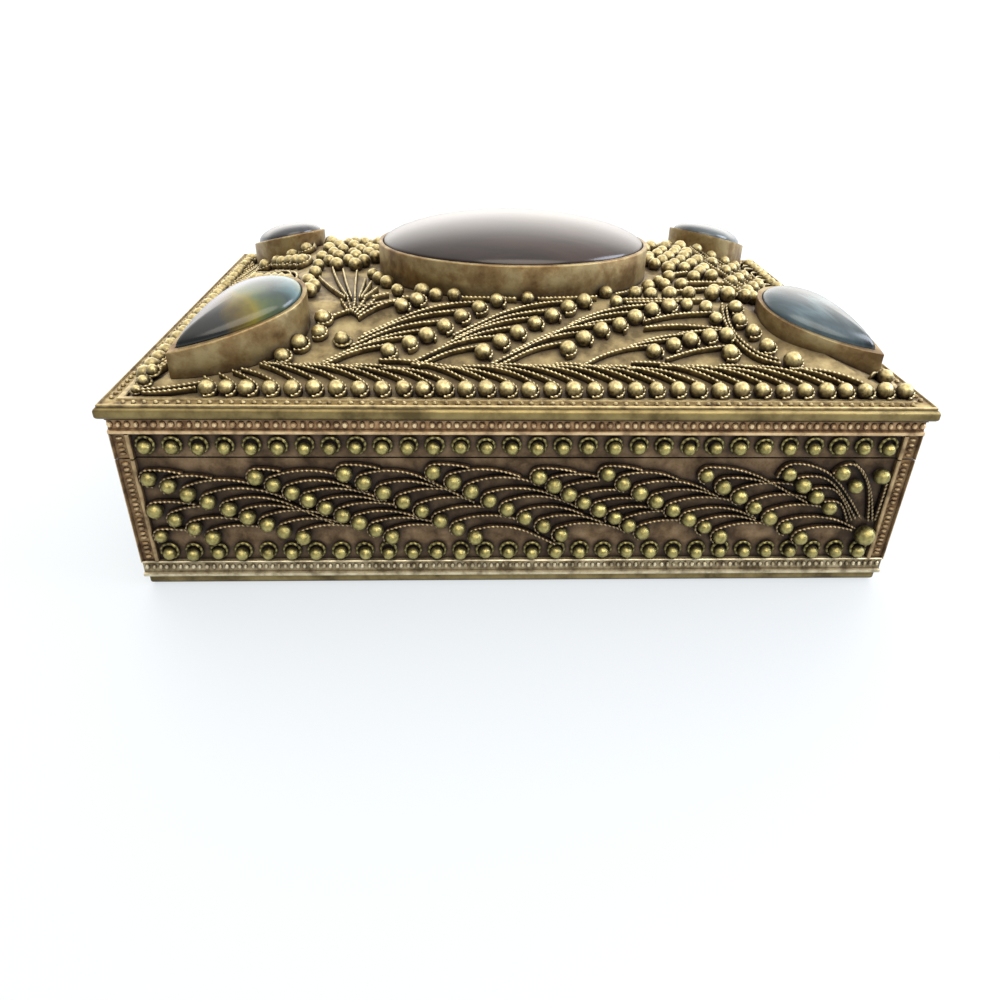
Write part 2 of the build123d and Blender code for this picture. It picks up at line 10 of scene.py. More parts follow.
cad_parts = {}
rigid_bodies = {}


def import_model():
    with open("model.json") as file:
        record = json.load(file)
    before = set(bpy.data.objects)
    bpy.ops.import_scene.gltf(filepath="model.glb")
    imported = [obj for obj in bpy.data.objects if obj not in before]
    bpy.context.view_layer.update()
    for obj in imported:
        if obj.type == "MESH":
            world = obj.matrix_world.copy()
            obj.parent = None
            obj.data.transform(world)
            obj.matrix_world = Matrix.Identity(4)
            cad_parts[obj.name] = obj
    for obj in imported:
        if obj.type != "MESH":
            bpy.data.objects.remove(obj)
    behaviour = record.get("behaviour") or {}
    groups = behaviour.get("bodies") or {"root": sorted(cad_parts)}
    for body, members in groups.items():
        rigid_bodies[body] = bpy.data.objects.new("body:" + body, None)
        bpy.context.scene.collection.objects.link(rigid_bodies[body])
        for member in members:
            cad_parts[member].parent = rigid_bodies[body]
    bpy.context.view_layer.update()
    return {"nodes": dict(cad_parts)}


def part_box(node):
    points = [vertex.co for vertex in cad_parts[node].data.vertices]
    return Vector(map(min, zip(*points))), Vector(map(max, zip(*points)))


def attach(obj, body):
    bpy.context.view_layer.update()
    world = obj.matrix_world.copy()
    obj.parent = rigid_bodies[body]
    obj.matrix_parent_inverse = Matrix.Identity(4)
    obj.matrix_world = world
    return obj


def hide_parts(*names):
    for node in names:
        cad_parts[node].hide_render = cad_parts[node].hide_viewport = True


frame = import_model()
nodes = frame["nodes"]
mm = 0.001
mergeGap = 0.001 * mm  # points nearer than this are one point
levelGap = 0.01 * mm  # and within this they are at one height
chance = random.Random(7)
sides = {"front": 0, "right": 90, "back": 180, "left": 270}
corners = ("front_left", "front_right", "back_left", "back_right")
print("frame loaded")


# Colours, nodes and finished pieces

def hexColour(code):
    channels = [int(code[i:i + 2], 16) / 255 for i in (1, 3, 5)]
    linear = [c / 12.92 if c <= 0.04045 else ((c + 0.055) / 1.055) ** 2.4 for c in channels]
    return (*linear, 1)


# Feeds inputs of a node from others. A node given as a source stands for its first output.
def feed(tree, node, links):
    for name, source in dict(links).items():
        if isinstance(source, bpy.types.Node):
            source = source.outputs[0]
        tree.links.new(source, node.inputs[name])


# Adds a shader node. A setting in lower case is the node's own, "stops" are a ramp's colours,
# and any other is the value of an input.
def addNode(tree, kind, settings, links=()):
    node = tree.nodes.new("ShaderNode" + kind)
    for name, value in settings.items():
        if name == "stops":
            while len(node.color_ramp.elements) < len(value):
                node.color_ramp.elements.new(0.5)
            for element, (place, colour) in zip(node.color_ramp.elements, value):
                element.position = place
                element.color = hexColour(colour)
        elif isinstance(name, str) and name[0].islower():
            setattr(node, name, value)
        else:
            node.inputs[name].default_value = value
    feed(tree, node, links)
    return node


def newMaterial(name, constants=()):
    material = bpy.data.materials.new(name)
    material.use_nodes = True
    tree = material.node_tree
    shader = tree.nodes["Principled BSDF"]
    for socket, value in dict(constants).items():
        shader.inputs[socket].default_value = value
    return material, tree, shader


# A bmesh whose points say how worn they are, from 0, dark, to 1, rubbed bright
def newWornMesh():
    bm = bmesh.new()
    return bm, bm.verts.layers.float.new("worn")


def meshFrom(name, bm):
    mesh = bpy.data.meshes.new(name)
    bm.to_mesh(mesh)
    bm.free()
    return mesh


def addObject(name, data):
    item = bpy.data.objects.new(name, data)
    bpy.context.scene.collection.objects.link(item)
    return item


def finishPiece(name, bm, material, body, replaced=(), smooth=True):
    bmesh.ops.recalc_face_normals(bm, faces=bm.faces)
    mesh = meshFrom(name, bm)
    for polygon in mesh.polygons:
        polygon.use_smooth = smooth
    piece = addObject(name, mesh)
    mesh.materials.append(material)
    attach(piece, body)
    if replaced:
        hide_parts(*replaced)
    return piece


def finishNode(node, material, bevel):
    piece = nodes[node]
    piece.data.materials.clear()
    piece.data.materials.append(material)
    if bevel:
        weld = piece.modifiers.new("weld", "WELD")
        weld.merge_threshold = mergeGap
        soften = piece.modifiers.new("soften", "BEVEL")
        soften.width = bevel * mm
        soften.segments = 2
        soften.limit_method = "ANGLE"
        soften.angle_limit = math.radians(40)
        soften.harden_normals = True


# Antique brass: rolled, drawn or cast brass that was darkened and rubbed back,
# so it is bright where a cloth reaches and dark brown where it doesn't. The dark recess colour
# follows an occlusion mask into hollows, wire gaps and under overhangs, so it is partly patina
# and partly painted shade. Sizes are in mm.

plainBrass = {
    "bodyAt": (0.36, 0.5, 0.64), "mottleSize": 3.0, "grainSize": 0.25, "recessFrom": 0.35,
    "recessTo": 0.95, "recessMetal": 0.25, "patchLeast": 0.55, "patchMost": 1.2, "wornShare": 0.0,
    "grainRough": 0.18, "lumpDepth": 0.1, "grainDepth": 0.012,
}


def antiqueBrass(name, look):
    look = {**plainBrass, **look}
    material, tree, shader = newMaterial(name)
    place = addNode(tree, "TexCoord", {}).outputs["Object"]
    mottle = addNode(
        tree, "TexNoise", {"Scale": 1 / (look["mottleSize"] * mm), "Detail": 5.0, "Roughness": 0.62},
        {"Vector": place})
    grain = addNode(
        tree, "TexNoise", {"Scale": 1 / (look["grainSize"] * mm), "Detail": 3.0, "Roughness": 0.6},
        {"Vector": place})
    # painted shade and patina: this occlusion mask mixes the recess colour in wherever neighbours crowd a
    # point
    reach = addNode(tree, "AmbientOcclusion", {"samples": 8, "Distance": look["recessReach"] * mm})
    exposed = addNode(
        tree, "MapRange", {"From Min": look["recessFrom"], "From Max": look["recessTo"]},
        {"Value": reach.outputs["AO"]})
    worn = addNode(tree, "Attribute", {"attribute_name": "worn"})
    rubbed = addNode(
        tree, "Math", {"operation": "MULTIPLY_ADD", 1: look["wornShare"], 2: look["wornBase"]},
        {0: worn.outputs["Fac"]})
    patchy = addNode(
        tree, "MapRange",
        {"From Min": 0.3, "From Max": 0.7, "To Min": look["patchLeast"], "To Max": look["patchMost"]},
        {"Value": mottle})
    shine = addNode(tree, "Math", {"operation": "MULTIPLY", "use_clamp": True}, {0: rubbed, 1: patchy})
    body = addNode(tree, "ValToRGB", {"stops": list(zip(look["bodyAt"], look["body"]))}, {"Fac": mottle})
    bright = addNode(
        tree, "Mix", {"data_type": "RGBA", 7: hexColour(look["bright"])}, {0: shine, 6: body})
    colour = addNode(
        tree, "Mix", {"data_type": "RGBA", 6: hexColour(look["recess"])},
        {0: exposed, 7: bright.outputs[2]})
    metal = addNode(tree, "MapRange", {"To Min": look["recessMetal"]}, {"Value": exposed})
    dull = addNode(
        tree, "MapRange", {"To Min": look["roughDull"], "To Max": look["roughBright"]}, {"Value": shine})
    rough = addNode(tree, "Math", {"operation": "MULTIPLY_ADD", 1: look["grainRough"]}, {0: grain, 2: dull})
    uneven = addNode(
        tree, "Bump", {"Strength": 0.6, "Distance": look["lumpDepth"] * mm}, {"Height": mottle})
    gritty = addNode(
        tree, "Bump", {"Strength": 0.5, "Distance": look["grainDepth"] * mm},
        {"Height": grain, "Normal": uneven})
    feed(tree, shader, {
        "Base Color": colour.outputs[2], "Metallic": metal, "Roughness": rough, "Normal": gritty})
    return material


shadedWallSheetBrass = antiqueBrass("shadedWallSheetBrass", {
    # rolled sheet of the walls, purplish brown, painted darker than the lid's copy for the shade on the
    # walls; nearly black beside the wires, partly patina and partly painted shade
    "body": ("#403026", "#705b46", "#937c64"), "bright": "#a9936f", "recess": "#1e140f",
    "recessReach": 2.2, "recessFrom": 0.45, "recessTo": 0.97, "wornBase": 0.2,
    "roughDull": 0.58, "roughBright": 0.45, "grainDepth": 0.014,
})
litLidSheetBrass = antiqueBrass("litLidSheetBrass", {
    # the same sheet on the lid, painted paler than the walls' copy for the light that falls on the lid: tan
    # between the wires, brown beside them, partly patina and partly painted shade
    "body": ("#524631", "#867756", "#a1946e"), "bright": "#b9a982", "recess": "#33261a",
    "recessReach": 1.8, "recessTo": 0.93, "wornBase": 0.25,
    "roughDull": 0.56, "roughBright": 0.42, "grainDepth": 0.014,
})
plateBrass = antiqueBrass("plateBrass", {
    # thicker sheet of the lid plate, handled most, so brighter along its edge
    "body": ("#433722", "#6f603e", "#86774e"), "bright": "#a19265", "recess": "#231910",
    "mottleSize": 3.5, "grainSize": 0.3, "recessReach": 0.7, "recessFrom": 0.4, "wornBase": 0.3,
    "roughDull": 0.48, "roughBright": 0.3, "lumpDepth": 0.16,
})
stripLook = {
    # rolled trim strip, rubbed bright on rails and pearls; dark round its pearls, partly patina and partly
    # painted shade from the occlusion mask
    "body": ("#55452d", "#8a7750", "#a39368"), "bright": "#c5b892", "recess": "#2e2015",
    "mottleSize": 1.6, "grainSize": 0.2, "recessReach": 0.5, "recessFrom": 0.5, "recessTo": 0.98,
    "wornShare": 0.8, "wornBase": 0.0, "roughDull": 0.5, "roughBright": 0.33, "lumpDepth": 0.09,
}
borderStripBrass = antiqueBrass("borderStripBrass", stripLook)
footStripBrass = antiqueBrass("footStripBrass", {
    # greyer and paler at the foot than the other strips
    **stripLook, "body": ("#72654b", "#ada081", "#c7bc9d"), "bright": "#e9e2c8",
})
cornerStripBrass = antiqueBrass("cornerStripBrass", {
    # tarnished browner at the corners
    **stripLook, "body": ("#5d4630", "#907554", "#ab926c"), "bright": "#c7b48d", "recess": "#372418",
})
skirtStripBrass = antiqueBrass("skirtStripBrass", {
    # reddest under the lid plate, where no cloth reaches, and painted paler to lift the shadow the plate
    # casts on it
    **stripLook, "body": ("#7b5d40", "#bc9a71", "#d5b88f"), "bright": "#ecd9b0", "recess": "#402a1d",
})
wireLook = {
    # two drawn wires twisted and flattened: bright dashes on the crest, olive-brown flanks
    "body": ("#53452c", "#776845", "#8f805a"), "bright": "#e6d9af", "recess": "#2a1e14",
    "mottleSize": 1.2, "grainSize": 0.12, "recessReach": 1.0, "recessFrom": 0.18, "recessTo": 0.85,
    "wornShare": 1.35, "wornBase": -0.3, "roughDull": 0.5, "roughBright": 0.28,
    "lumpDepth": 0.02, "grainDepth": 0.006,
}
twistedWireBrass = antiqueBrass("twistedWireBrass", wireLook)
shadedWallWireBrass = antiqueBrass("shadedWallWireBrass", {
    # the same wire on the walls, painted darker on crests and flanks for the shade on the walls
    **wireLook, "body": ("#33251a", "#544231", "#6b5842"), "bright": "#c9b68c", "recess": "#1b110b",
    "recessFrom": 0.3, "recessTo": 0.95, "wornShare": 1.2, "wornBase": -0.15,
})
beadLook = {
    # balls melted from wire: a fine skin, rubbed bright on top; dark at the foot, where the occlusion mask
    # paints shade as well as patina
    "body": ("#352b19", "#605438", "#857851"), "bright": "#cfc08d", "recess": "#2a1e13",
    "mottleSize": 0.5, "grainSize": 0.11, "recessReach": 1.1, "wornShare": 0.9, "wornBase": -0.12,
    "roughDull": 0.42, "roughBright": 0.24, "lumpDepth": 0.09, "grainDepth": 0.016,
}
grainedBeadBrass = antiqueBrass("grainedBeadBrass", beadLook)
shadedWallBeadBrass = antiqueBrass("shadedWallBeadBrass", {
    # the same balls on the walls, olive, and painted darker for the shade on the walls
    **beadLook, "body": ("#2e2715", "#575032", "#79714a"), "bright": "#bdb374", "recess": "#1c150d",
})
burnishedBezelBrass = antiqueBrass("burnishedBezelBrass", {
    # plain strip bent round the stones by hand, its rim rubbed down over them
    "body": ("#533b22", "#745d3e", "#90815f"), "bodyAt": (0.34, 0.46, 0.6), "bright": "#b4a77e",
    "recess": "#2b1d12", "mottleSize": 4.0, "grainSize": 0.35, "recessReach": 1.2, "recessTo": 0.93,
    "wornBase": 0.15, "roughDull": 0.44, "roughBright": 0.28, "lumpDepth": 0.2,
})
hingeBrass = antiqueBrass("hingeBrass", {
    # drawn tube and sheet, polished by the movement on the knuckles
    "body": ("#4f4128", "#7f7048", "#938459"), "bright": "#c6b982", "recess": "#261b11",
    "recessReach": 0.8, "recessFrom": 0.4, "wornBase": 0.3,
    "roughDull": 0.42, "roughBright": 0.26, "lumpDepth": 0.06,
})


# Agate: polished quartz with cloudy bands, glossy enough to mirror the tent. Its colours run
# along the stone, from 0 at the start to 1 at the far end, and a paler colour along one side is a painted
# reflection of the tent.

def polishedAgate(name, start, turn, length, look):
    material, tree, shader = newMaterial(
        name, {"Roughness": 0.19, "IOR": 1.54, "Specular IOR Level": 0.36})
    place = addNode(tree, "TexCoord", {}).outputs["Object"]
    local = addNode(
        tree, "Mapping",
        {"vector_type": "TEXTURE", "Location": start, "Rotation": (0, 0, turn), "Scale": (length,) * 3},
        {"Vector": place})
    drawn = addNode(tree, "VectorMath", {"operation": "MULTIPLY", 1: look["streaks"]}, {0: local})
    cloud = addNode(
        tree, "TexNoise", {"Scale": look["clouds"], "Detail": 3.0, "Distortion": 0.6}, {"Vector": drawn})
    fine = addNode(
        tree, "TexNoise", {"Scale": look["clouds"] * 6, "Detail": 4.0, "Roughness": 0.6},
        {"Vector": drawn})
    split = addNode(tree, "SeparateXYZ", {}, {"Vector": local})
    sway = addNode(tree, "MapRange", {"To Min": -look["sway"], "To Max": look["sway"]}, {"Value": cloud})
    reach = addNode(tree, "Math", {"operation": "ADD"}, {0: split.outputs["X"], 1: sway})
    bands = addNode(tree, "ValToRGB", {"stops": look["bands"]}, {"Fac": reach})
    # painted reflection: the side colour is blended in across the stone towards one side, standing in for
    # the mirrored tent
    edge = addNode(
        tree, "MapRange",
        {"interpolation_type": "SMOOTHSTEP", "From Min": look["reflectionFrom"], "From Max": look["reflectionTo"],
         "To Max": look["reflectionShare"]},
        {"Value": split.outputs["Y"]})
    withReflection = addNode(tree, "Mix", {"data_type": "RGBA", 7: hexColour(look["side"])}, {0: edge, 6: bands})
    colour = addNode(
        tree, "Mix", {"data_type": "RGBA", "blend_type": "SOFT_LIGHT", 0: look["fleck"]},
        {6: withReflection.outputs[2], 7: fine})
    feed(tree, shader, {"Base Color": colour.outputs[2]})
    return material


# The oval: purple-brown with faint lengthwise streaks, lost under the mirrored tent above; its pale far
# side is a painted reflection
ovalLook = {
    "bands": ((0.1, "#150d0b"), (0.35, "#201514"), (0.5, "#170f0e"), (0.65, "#281b18"), (0.9, "#1b110f")),
    "streaks": (0.6, 5.0, 1.0), "clouds": 2.2, "sway": 0.6, "fleck": 0.35,
    "side": "#8c8078", "reflectionFrom": -0.03, "reflectionTo": 0.26, "reflectionShare": 0.9,
}
pearLooks = {
    # slate at the tip, an olive patch, then teal and pale blue; the lilac along its outer side is a painted
    # reflection
    "front_left": {
        "bands": (
            (0.12, "#0f1214"), (0.31, "#191c1d"), (0.38, "#433815"), (0.48, "#5f5719"), (0.57, "#3f4b2e"),
            (0.69, "#223233"), (0.82, "#3f595f"), (0.95, "#4b5933")),
        "streaks": (1.0, 1.0, 1.0), "clouds": 3.0, "sway": 0.16, "fleck": 0.3,
        "side": "#76768c", "reflectionFrom": 0.0, "reflectionTo": 0.23, "reflectionShare": 0.8,
    },
    # slate blue with one pale lengthwise streak, and a paler painted reflection along one side
    "front_right": {
        "bands": (
            (0.05, "#131d22"), (0.25, "#303e44"), (0.38, "#1b272c"), (0.52, "#495a5f"), (0.64, "#222e33"),
            (0.78, "#121b1f"), (0.9, "#364247"), (1.0, "#828d90")),
        "streaks": (0.5, 4.0, 1.0), "clouds": 2.5, "sway": 0.3, "fleck": 0.3,
        "side": "#42535c", "reflectionFrom": 0.0, "reflectionTo": 0.25, "reflectionShare": 0.5,
    },
    # the back stones: grey, with a paler painted reflection along one side
    "back_left": {
        "bands": ((0.1, "#303234"), (0.5, "#3b3d42"), (0.9, "#2a2c30")),
        "streaks": (1.0, 2.0, 1.0), "clouds": 3.0, "sway": 0.4, "fleck": 0.3,
        "side": "#4a4c52", "reflectionFrom": 0.0, "reflectionTo": 0.25, "reflectionShare": 0.5,
    },
    "back_right": {
        "bands": ((0.1, "#2c3236"), (0.5, "#3d464b"), (0.9, "#2a3034")),
        "streaks": (1.0, 2.0, 1.0), "clouds": 3.0, "sway": 0.4, "fleck": 0.3,
        "side": "#4b555a", "reflectionFrom": 0.0, "reflectionTo": 0.25, "reflectionShare": 0.5,
    },
}


# Cotton velvet: cut pile, dark along the view and lighter at a slant. Its pile is drawn
# coarser than the real one, which is too fine to show.

velvetLook = {
    "pile": 0.35, "stroke": 14, "nap": 0.12,
    "shades": ((0.35, "#460c13"), (0.55, "#541019"), (0.7, "#601620")), "sheen": "#c98a90",
}


def cottonVelvet():
    material, tree, shader = newMaterial("cottonVelvet", {
        "Roughness": 0.9, "Sheen Weight": 0.5, "Sheen Roughness": 0.35,
        "Sheen Tint": hexColour(velvetLook["sheen"])})
    place = addNode(tree, "TexCoord", {}).outputs["Object"]
    pile = addNode(
        tree, "TexNoise", {"Scale": 1 / (velvetLook["pile"] * mm), "Detail": 2.0}, {"Vector": place})
    stroke = addNode(
        tree, "TexNoise", {"Scale": 1 / (velvetLook["stroke"] * mm), "Detail": 3.0}, {"Vector": place})
    shade = addNode(tree, "ValToRGB", {"stops": velvetLook["shades"]}, {"Fac": stroke})
    colour = addNode(
        tree, "Mix", {"data_type": "RGBA", "blend_type": "OVERLAY", 0: 0.4}, {6: shade, 7: pile})
    nap = addNode(
        tree, "Bump", {"Strength": 0.5, "Distance": velvetLook["nap"] * mm}, {"Height": pile})
    feed(tree, shader, {"Base Color": colour.outputs[2], "Normal": nap})
    return material


print("materials made")


# Faces of the box, read from the frame: u along a side, v up it, w outwards

def sideAxes(side):
    turn = math.radians(sides[side])
    return Vector((math.cos(turn), math.sin(turn), 0)), Vector((math.sin(turn), -math.cos(turn), 0))


def placeOn(axes, origin):
    place = Matrix(axes).transposed().to_4x4()
    place.translation = origin
    return place


def wallPlace(side):
    along, outward = sideAxes(side)
    reach = max(outward.dot(corner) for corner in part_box(f"{side}_wall"))
    return placeOn((along, Vector((0, 0, 1)), outward), outward * reach)


def crownPoints():
    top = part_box("lid_top")[1].z - levelGap
    return [v.co for v in nodes["lid_top"].data.vertices if v.co.z > top]


def slopePlace(side):
    along, outward = sideAxes(side)
    low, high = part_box("lid_top")
    foot = max(outward.dot(low), outward.dot(high))
    run = foot - max(outward.dot(v) for v in crownPoints())
    upSlope = (Vector((0, 0, high.z - low.z)) - outward * run).normalized()
    return placeOn((along, upSlope, along.cross(upSlope)), outward * foot + Vector((0, 0, low.z)))


def slopeLength():
    low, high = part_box("lid_top")
    return math.hypot(high.y - max(v.y for v in crownPoints()), high.z - low.z)


def alongSide(side, vector):
    return vector.x if side in ("front", "back") else vector.y


# A merged copy of a CAD node, whose own mesh is loose triangles
def mergedCopy(node):
    bm = bmesh.new()
    bm.from_mesh(nodes[node].data)
    bmesh.ops.remove_doubles(bm, verts=bm.verts, dist=mergeGap)
    return bm


# Points of a closed outline in their order, from the one that is furthest out
def walkLoop(edges):
    known = set(edges)
    loop = [max((v for e in edges for v in e.verts), key=lambda v: abs(v.co.x) + abs(v.co.y))]
    while True:
        ahead = [
            e.other_vert(loop[-1]) for e in loop[-1].link_edges
            if e in known and e.other_vert(loop[-1]) not in loop]
        if not ahead:
            return [v.co.copy() for v in loop]
        loop.append(ahead[0])


# Solids of a CAD node, each as the list of its points

def solidsOf(node):
    bm = mergedCopy(node)
    solids = []
    seen = set()
    for start in bm.verts:
        if start in seen:
            continue
        seen.add(start)
        queue = [start]
        for vert in queue:
            for edge in vert.link_edges:
                other = edge.other_vert(vert)
                if other not in seen:
                    seen.add(other)
                    queue.append(other)
        solids.append([vert.co.copy() for vert in queue])
    bm.free()
    return solids


faceBand = (-0.05, 4)  # lowest and highest that a ball on a face reaches, in mm


# Middle and radius of each ball of a node that stands on this face
def ballsOn(place, solids):
    back = place.inverted()
    balls = []
    for solid in solids:
        points = [back @ point for point in solid]
        if min(p.z for p in points) < faceBand[0] * mm or max(p.z for p in points) > faceBand[1] * mm:
            continue
        us = [p.x for p in points]
        vs = [p.y for p in points]
        radius = (max(us) - min(us)) / 2
        balls.append((Vector(((max(us) + min(us)) / 2, (max(vs) + min(vs)) / 2, 0)), radius))
    return balls


# Beads

beads = {
    "around": 12, "rings": 7, "sink": 0.22, "slip": 0.07, "squash": 0.06, "dent": 0.03,
    "wornFrom": 0.45, "wornGain": 1.8, "wornSpread": 0.2,
}
anyTurn = 6.28


def addBead(bm, place, middle, radius, worn):
    lift = radius * (1 - beads["sink"])
    slip = Vector((chance.gauss(0, 1), chance.gauss(0, 1), 0)) * beads["slip"] * mm
    turn = Matrix.Rotation(chance.uniform(0, anyTurn), 4, "Z")
    size = 1 + chance.uniform(-beads["squash"], beads["squash"])
    at = place @ Matrix.Translation(middle + slip + Vector((0, 0, lift))) @ turn
    made = bmesh.ops.create_uvsphere(
        bm, u_segments=beads["around"], v_segments=beads["rings"], radius=radius * size, matrix=at)
    back = place.inverted()
    heart = at.to_translation()
    for vert in made["verts"]:
        height = (back @ vert.co).z / (radius + lift)
        spread = chance.uniform(-beads["wornSpread"], beads["wornSpread"])
        vert[worn] = max(0, min(1, (height - beads["wornFrom"]) * beads["wornGain"] + spread))
        vert.co += (vert.co - heart).normalized() * radius * chance.uniform(-1, 1) * beads["dent"]


# A ring of twisted wire round a bead

ring = {
    "radius": 1.3, "tube": 0.24, "around": 20, "section": 5, "rise": 0.42, "twist": 0.3, "turns": 10,
    "sizes": (0.94, 1.04), "lean": 0.06, "wornBelow": 0.05,
}


def ringTemplate():
    tube, reach = ring["tube"] * mm, (ring["radius"] - ring["tube"]) * mm
    bm, worn = newWornMesh()
    start = bmesh.ops.create_circle(bm, cap_ends=False, segments=ring["section"], radius=tube)
    stand = Matrix.Translation((reach, 0, 0)) @ Matrix.Rotation(math.radians(90), 4, "X")
    bmesh.ops.transform(bm, matrix=stand, verts=start["verts"])
    bmesh.ops.spin(
        bm, geom=bm.verts[:] + bm.edges[:], cent=(0, 0, 0), axis=(0, 0, 1),
        angle=math.tau, steps=ring["around"], use_merge=True)
    for vert in bm.verts:
        angle = math.atan2(vert.co.y, vert.co.x)
        across = math.hypot(vert.co.x, vert.co.y) - reach
        twist = math.sin(ring["turns"] * angle + math.atan2(vert.co.z, across))
        vert[worn] = 0.5 + 0.5 * twist if vert.co.z > 0 else ring["wornBelow"]
        vert.co *= 1 + 0.5 * ring["twist"] * tube / reach * twist
        vert.co.z = vert.co.z * (1 + ring["twist"] * twist) + ring["rise"] * mm
    return meshFrom("ringTemplate", bm)


ringMesh = ringTemplate()


def addRing(bm, place, middle, radius):
    size = radius / (ring["radius"] * mm) * chance.uniform(*ring["sizes"])
    lean = Matrix.Rotation(chance.gauss(0, ring["lean"]), 4, "X")
    lean = lean @ Matrix.Rotation(chance.gauss(0, ring["lean"]), 4, "Y")
    at = place @ Matrix.Translation(middle) @ lean @ Matrix.Rotation(chance.uniform(0, anyTurn), 4, "Z")
    mesh = ringMesh.copy()
    mesh.transform(at @ Matrix.Scale(size, 4))
    bm.from_mesh(mesh)
    bpy.data.meshes.remove(mesh)


# Twisted wire on edge: a strip whose crest is notched by the twist

wire = {
    "width": 0.27, "height": 0.95, "twistPitch": 0.6, "perTurn": 4, "notch": 0.09, "lean": 0.8,
    "shoulder": 0.82, "sway": 0.4, "bulge": 0.2, "flankWorn": 0.12, "flankSpread": 0.1,
    "fewestSteps": 6, "low": 0.9,
}
wireStep = wire["twistPitch"] * mm / wire["perTurn"]
wireTemplates = {}


def wireTemplate(count):
    if count in wireTemplates:
        return wireTemplates[count]
    half, top, low = wire["width"] / 2, wire["height"], wire["height"] * wire["shoulder"]
    section = [(-half, 0), (-half, low), (-half / 2, top), (half / 2, top), (half, low), (half, 0)]
    corners = len(section)
    bm, worn = newWornMesh()
    bmesh.ops.create_grid(bm, x_segments=count, y_segments=corners, size=0.5)
    for vert in bm.verts:
        step = round((vert.co.x + 0.5) * count)
        spot = round((vert.co.y + 0.5) * corners) % corners
        across, up = section[spot]
        phase = math.tau * step / wire["perTurn"] + (wire["lean"] if across > 0 else 0)
        if spot in (2, 3):
            up += wire["notch"] * math.sin(phase)
            across += wire["sway"] * wire["notch"] * math.cos(phase)
            vert[worn] = 0.5 + 0.5 * math.sin(phase)
        elif spot in (1, 4):
            across *= 1 + wire["bulge"] * math.sin(phase)
            vert[worn] = wire["flankWorn"] + wire["flankSpread"] * math.sin(phase)
        vert.co = (step * wireStep, across * mm, up * mm)
    bmesh.ops.remove_doubles(bm, verts=bm.verts, dist=mergeGap)
    ends = [edge for edge in bm.edges if edge.is_boundary]
    bmesh.ops.holes_fill(bm, edges=ends, sides=corners)
    wireTemplates[count] = meshFrom(f"wireTemplate{count}", bm)
    return wireTemplates[count]


def addWire(bm, place, path, height=1.0):
    count = len(path) - 1
    if count < wire["fewestSteps"]:
        return
    before = len(bm.verts)
    bm.from_mesh(wireTemplate(count))
    bm.verts.ensure_lookup_table()
    for index in range(before, len(bm.verts)):
        vert = bm.verts[index]
        step = min(count, max(0, round(vert.co.x / wireStep)))
        ahead = path[min(step + 1, count)] - path[max(step - 1, 0)]
        aside = Vector((-ahead.y, ahead.x)).normalized()
        spot = path[step] + aside * vert.co.y
        vert.co = place @ Vector((spot.x, spot.y, vert.co.z * height))


# Path of a wire in a face. It starts on a circle round its bead, hooks over it
# and follows stages of (radius in mm, heading in degrees where the stage ends).
# Hand 1 runs right, -1 left. It ends after its tail, or where it meets something.
def wirePath(middle, startAngle, hookRadius, stages, tail, hand, isFree):
    angle = math.radians(startAngle)
    point = Vector((math.cos(angle), math.sin(angle))) * hookRadius * mm
    heading = angle - math.pi / 2
    path = []
    stage = 0
    straight = 0
    while straight < tail:
        spot = Vector((middle.x + hand * point.x, middle.y + point.y))
        if stage > 0 and not isFree(spot):
            break
        path.append(spot)
        while stage < len(stages) and heading <= math.radians(stages[stage][1]) + 1e-6:
            stage += 1
        if stage == len(stages):
            straight += wireStep / mm
        else:
            heading -= wireStep / (stages[stage][0] * mm)
        point += Vector((math.cos(heading), math.sin(heading))) * wireStep
    return path


# Path through a few given points, smoothed by a curve
def drawnPath(points):
    curve = bpy.data.curves.new("drawn", "CURVE")
    curve.dimensions = "3D"
    spline = curve.splines.new("NURBS")
    spline.points.add(len(points) - 1)
    for spot, (u, v) in zip(spline.points, points):
        spot.co = (u * mm, v * mm, 0, 1)
    spline.order_u = 3
    spline.use_endpoint_u = True
    curve.resolution_u = 24
    guide = bpy.data.objects.new("drawn", curve)
    mesh = bpy.data.meshes.new_from_object(guide)
    line = [vert.co.xy for vert in mesh.vertices]
    for block, library in ((mesh, bpy.data.meshes), (guide, bpy.data.objects), (curve, bpy.data.curves)):
        library.remove(block)
    path = [line[0]]
    for spot in line[1:]:
        while (spot - path[-1]).length > wireStep:
            path.append(path[-1] + (spot - path[-1]).normalized() * wireStep)
    return path


chainGap = 3  # beads nearer to a line than this, in mm, are on one chain
lastAhead = 11.6  # room past the last chain


# Beads sorted into chains: each chain lies on one slanting line, highest bead first
def chainsOf(balls, hand, slant):
    lean = math.tan(math.radians(slant))
    chains = []
    for middle, radius in sorted(balls, key=lambda ball: hand * ball[0].x + ball[0].y / lean):
        line = hand * middle.x + middle.y / lean
        if not chains or line - chains[-1][0] > chainGap * mm:
            chains.append((line, []))
        chains[-1][1].append((middle, radius))
    for number, (line, chain) in enumerate(chains):
        chain.sort(key=lambda ball: -ball[0].y)
        ahead = chains[number + 1][0] - line if number + 1 < len(chains) else lastAhead * mm
        yield ahead / mm, chain


chainWire = {
    "start": 290, "startSpread": 80, "endRise": 0.3, "endSweep": 1.3, "sweepSpread": (0.93, 1.07),
    "tailSpread": 1.5, "heights": (0.9, 1.0),
}


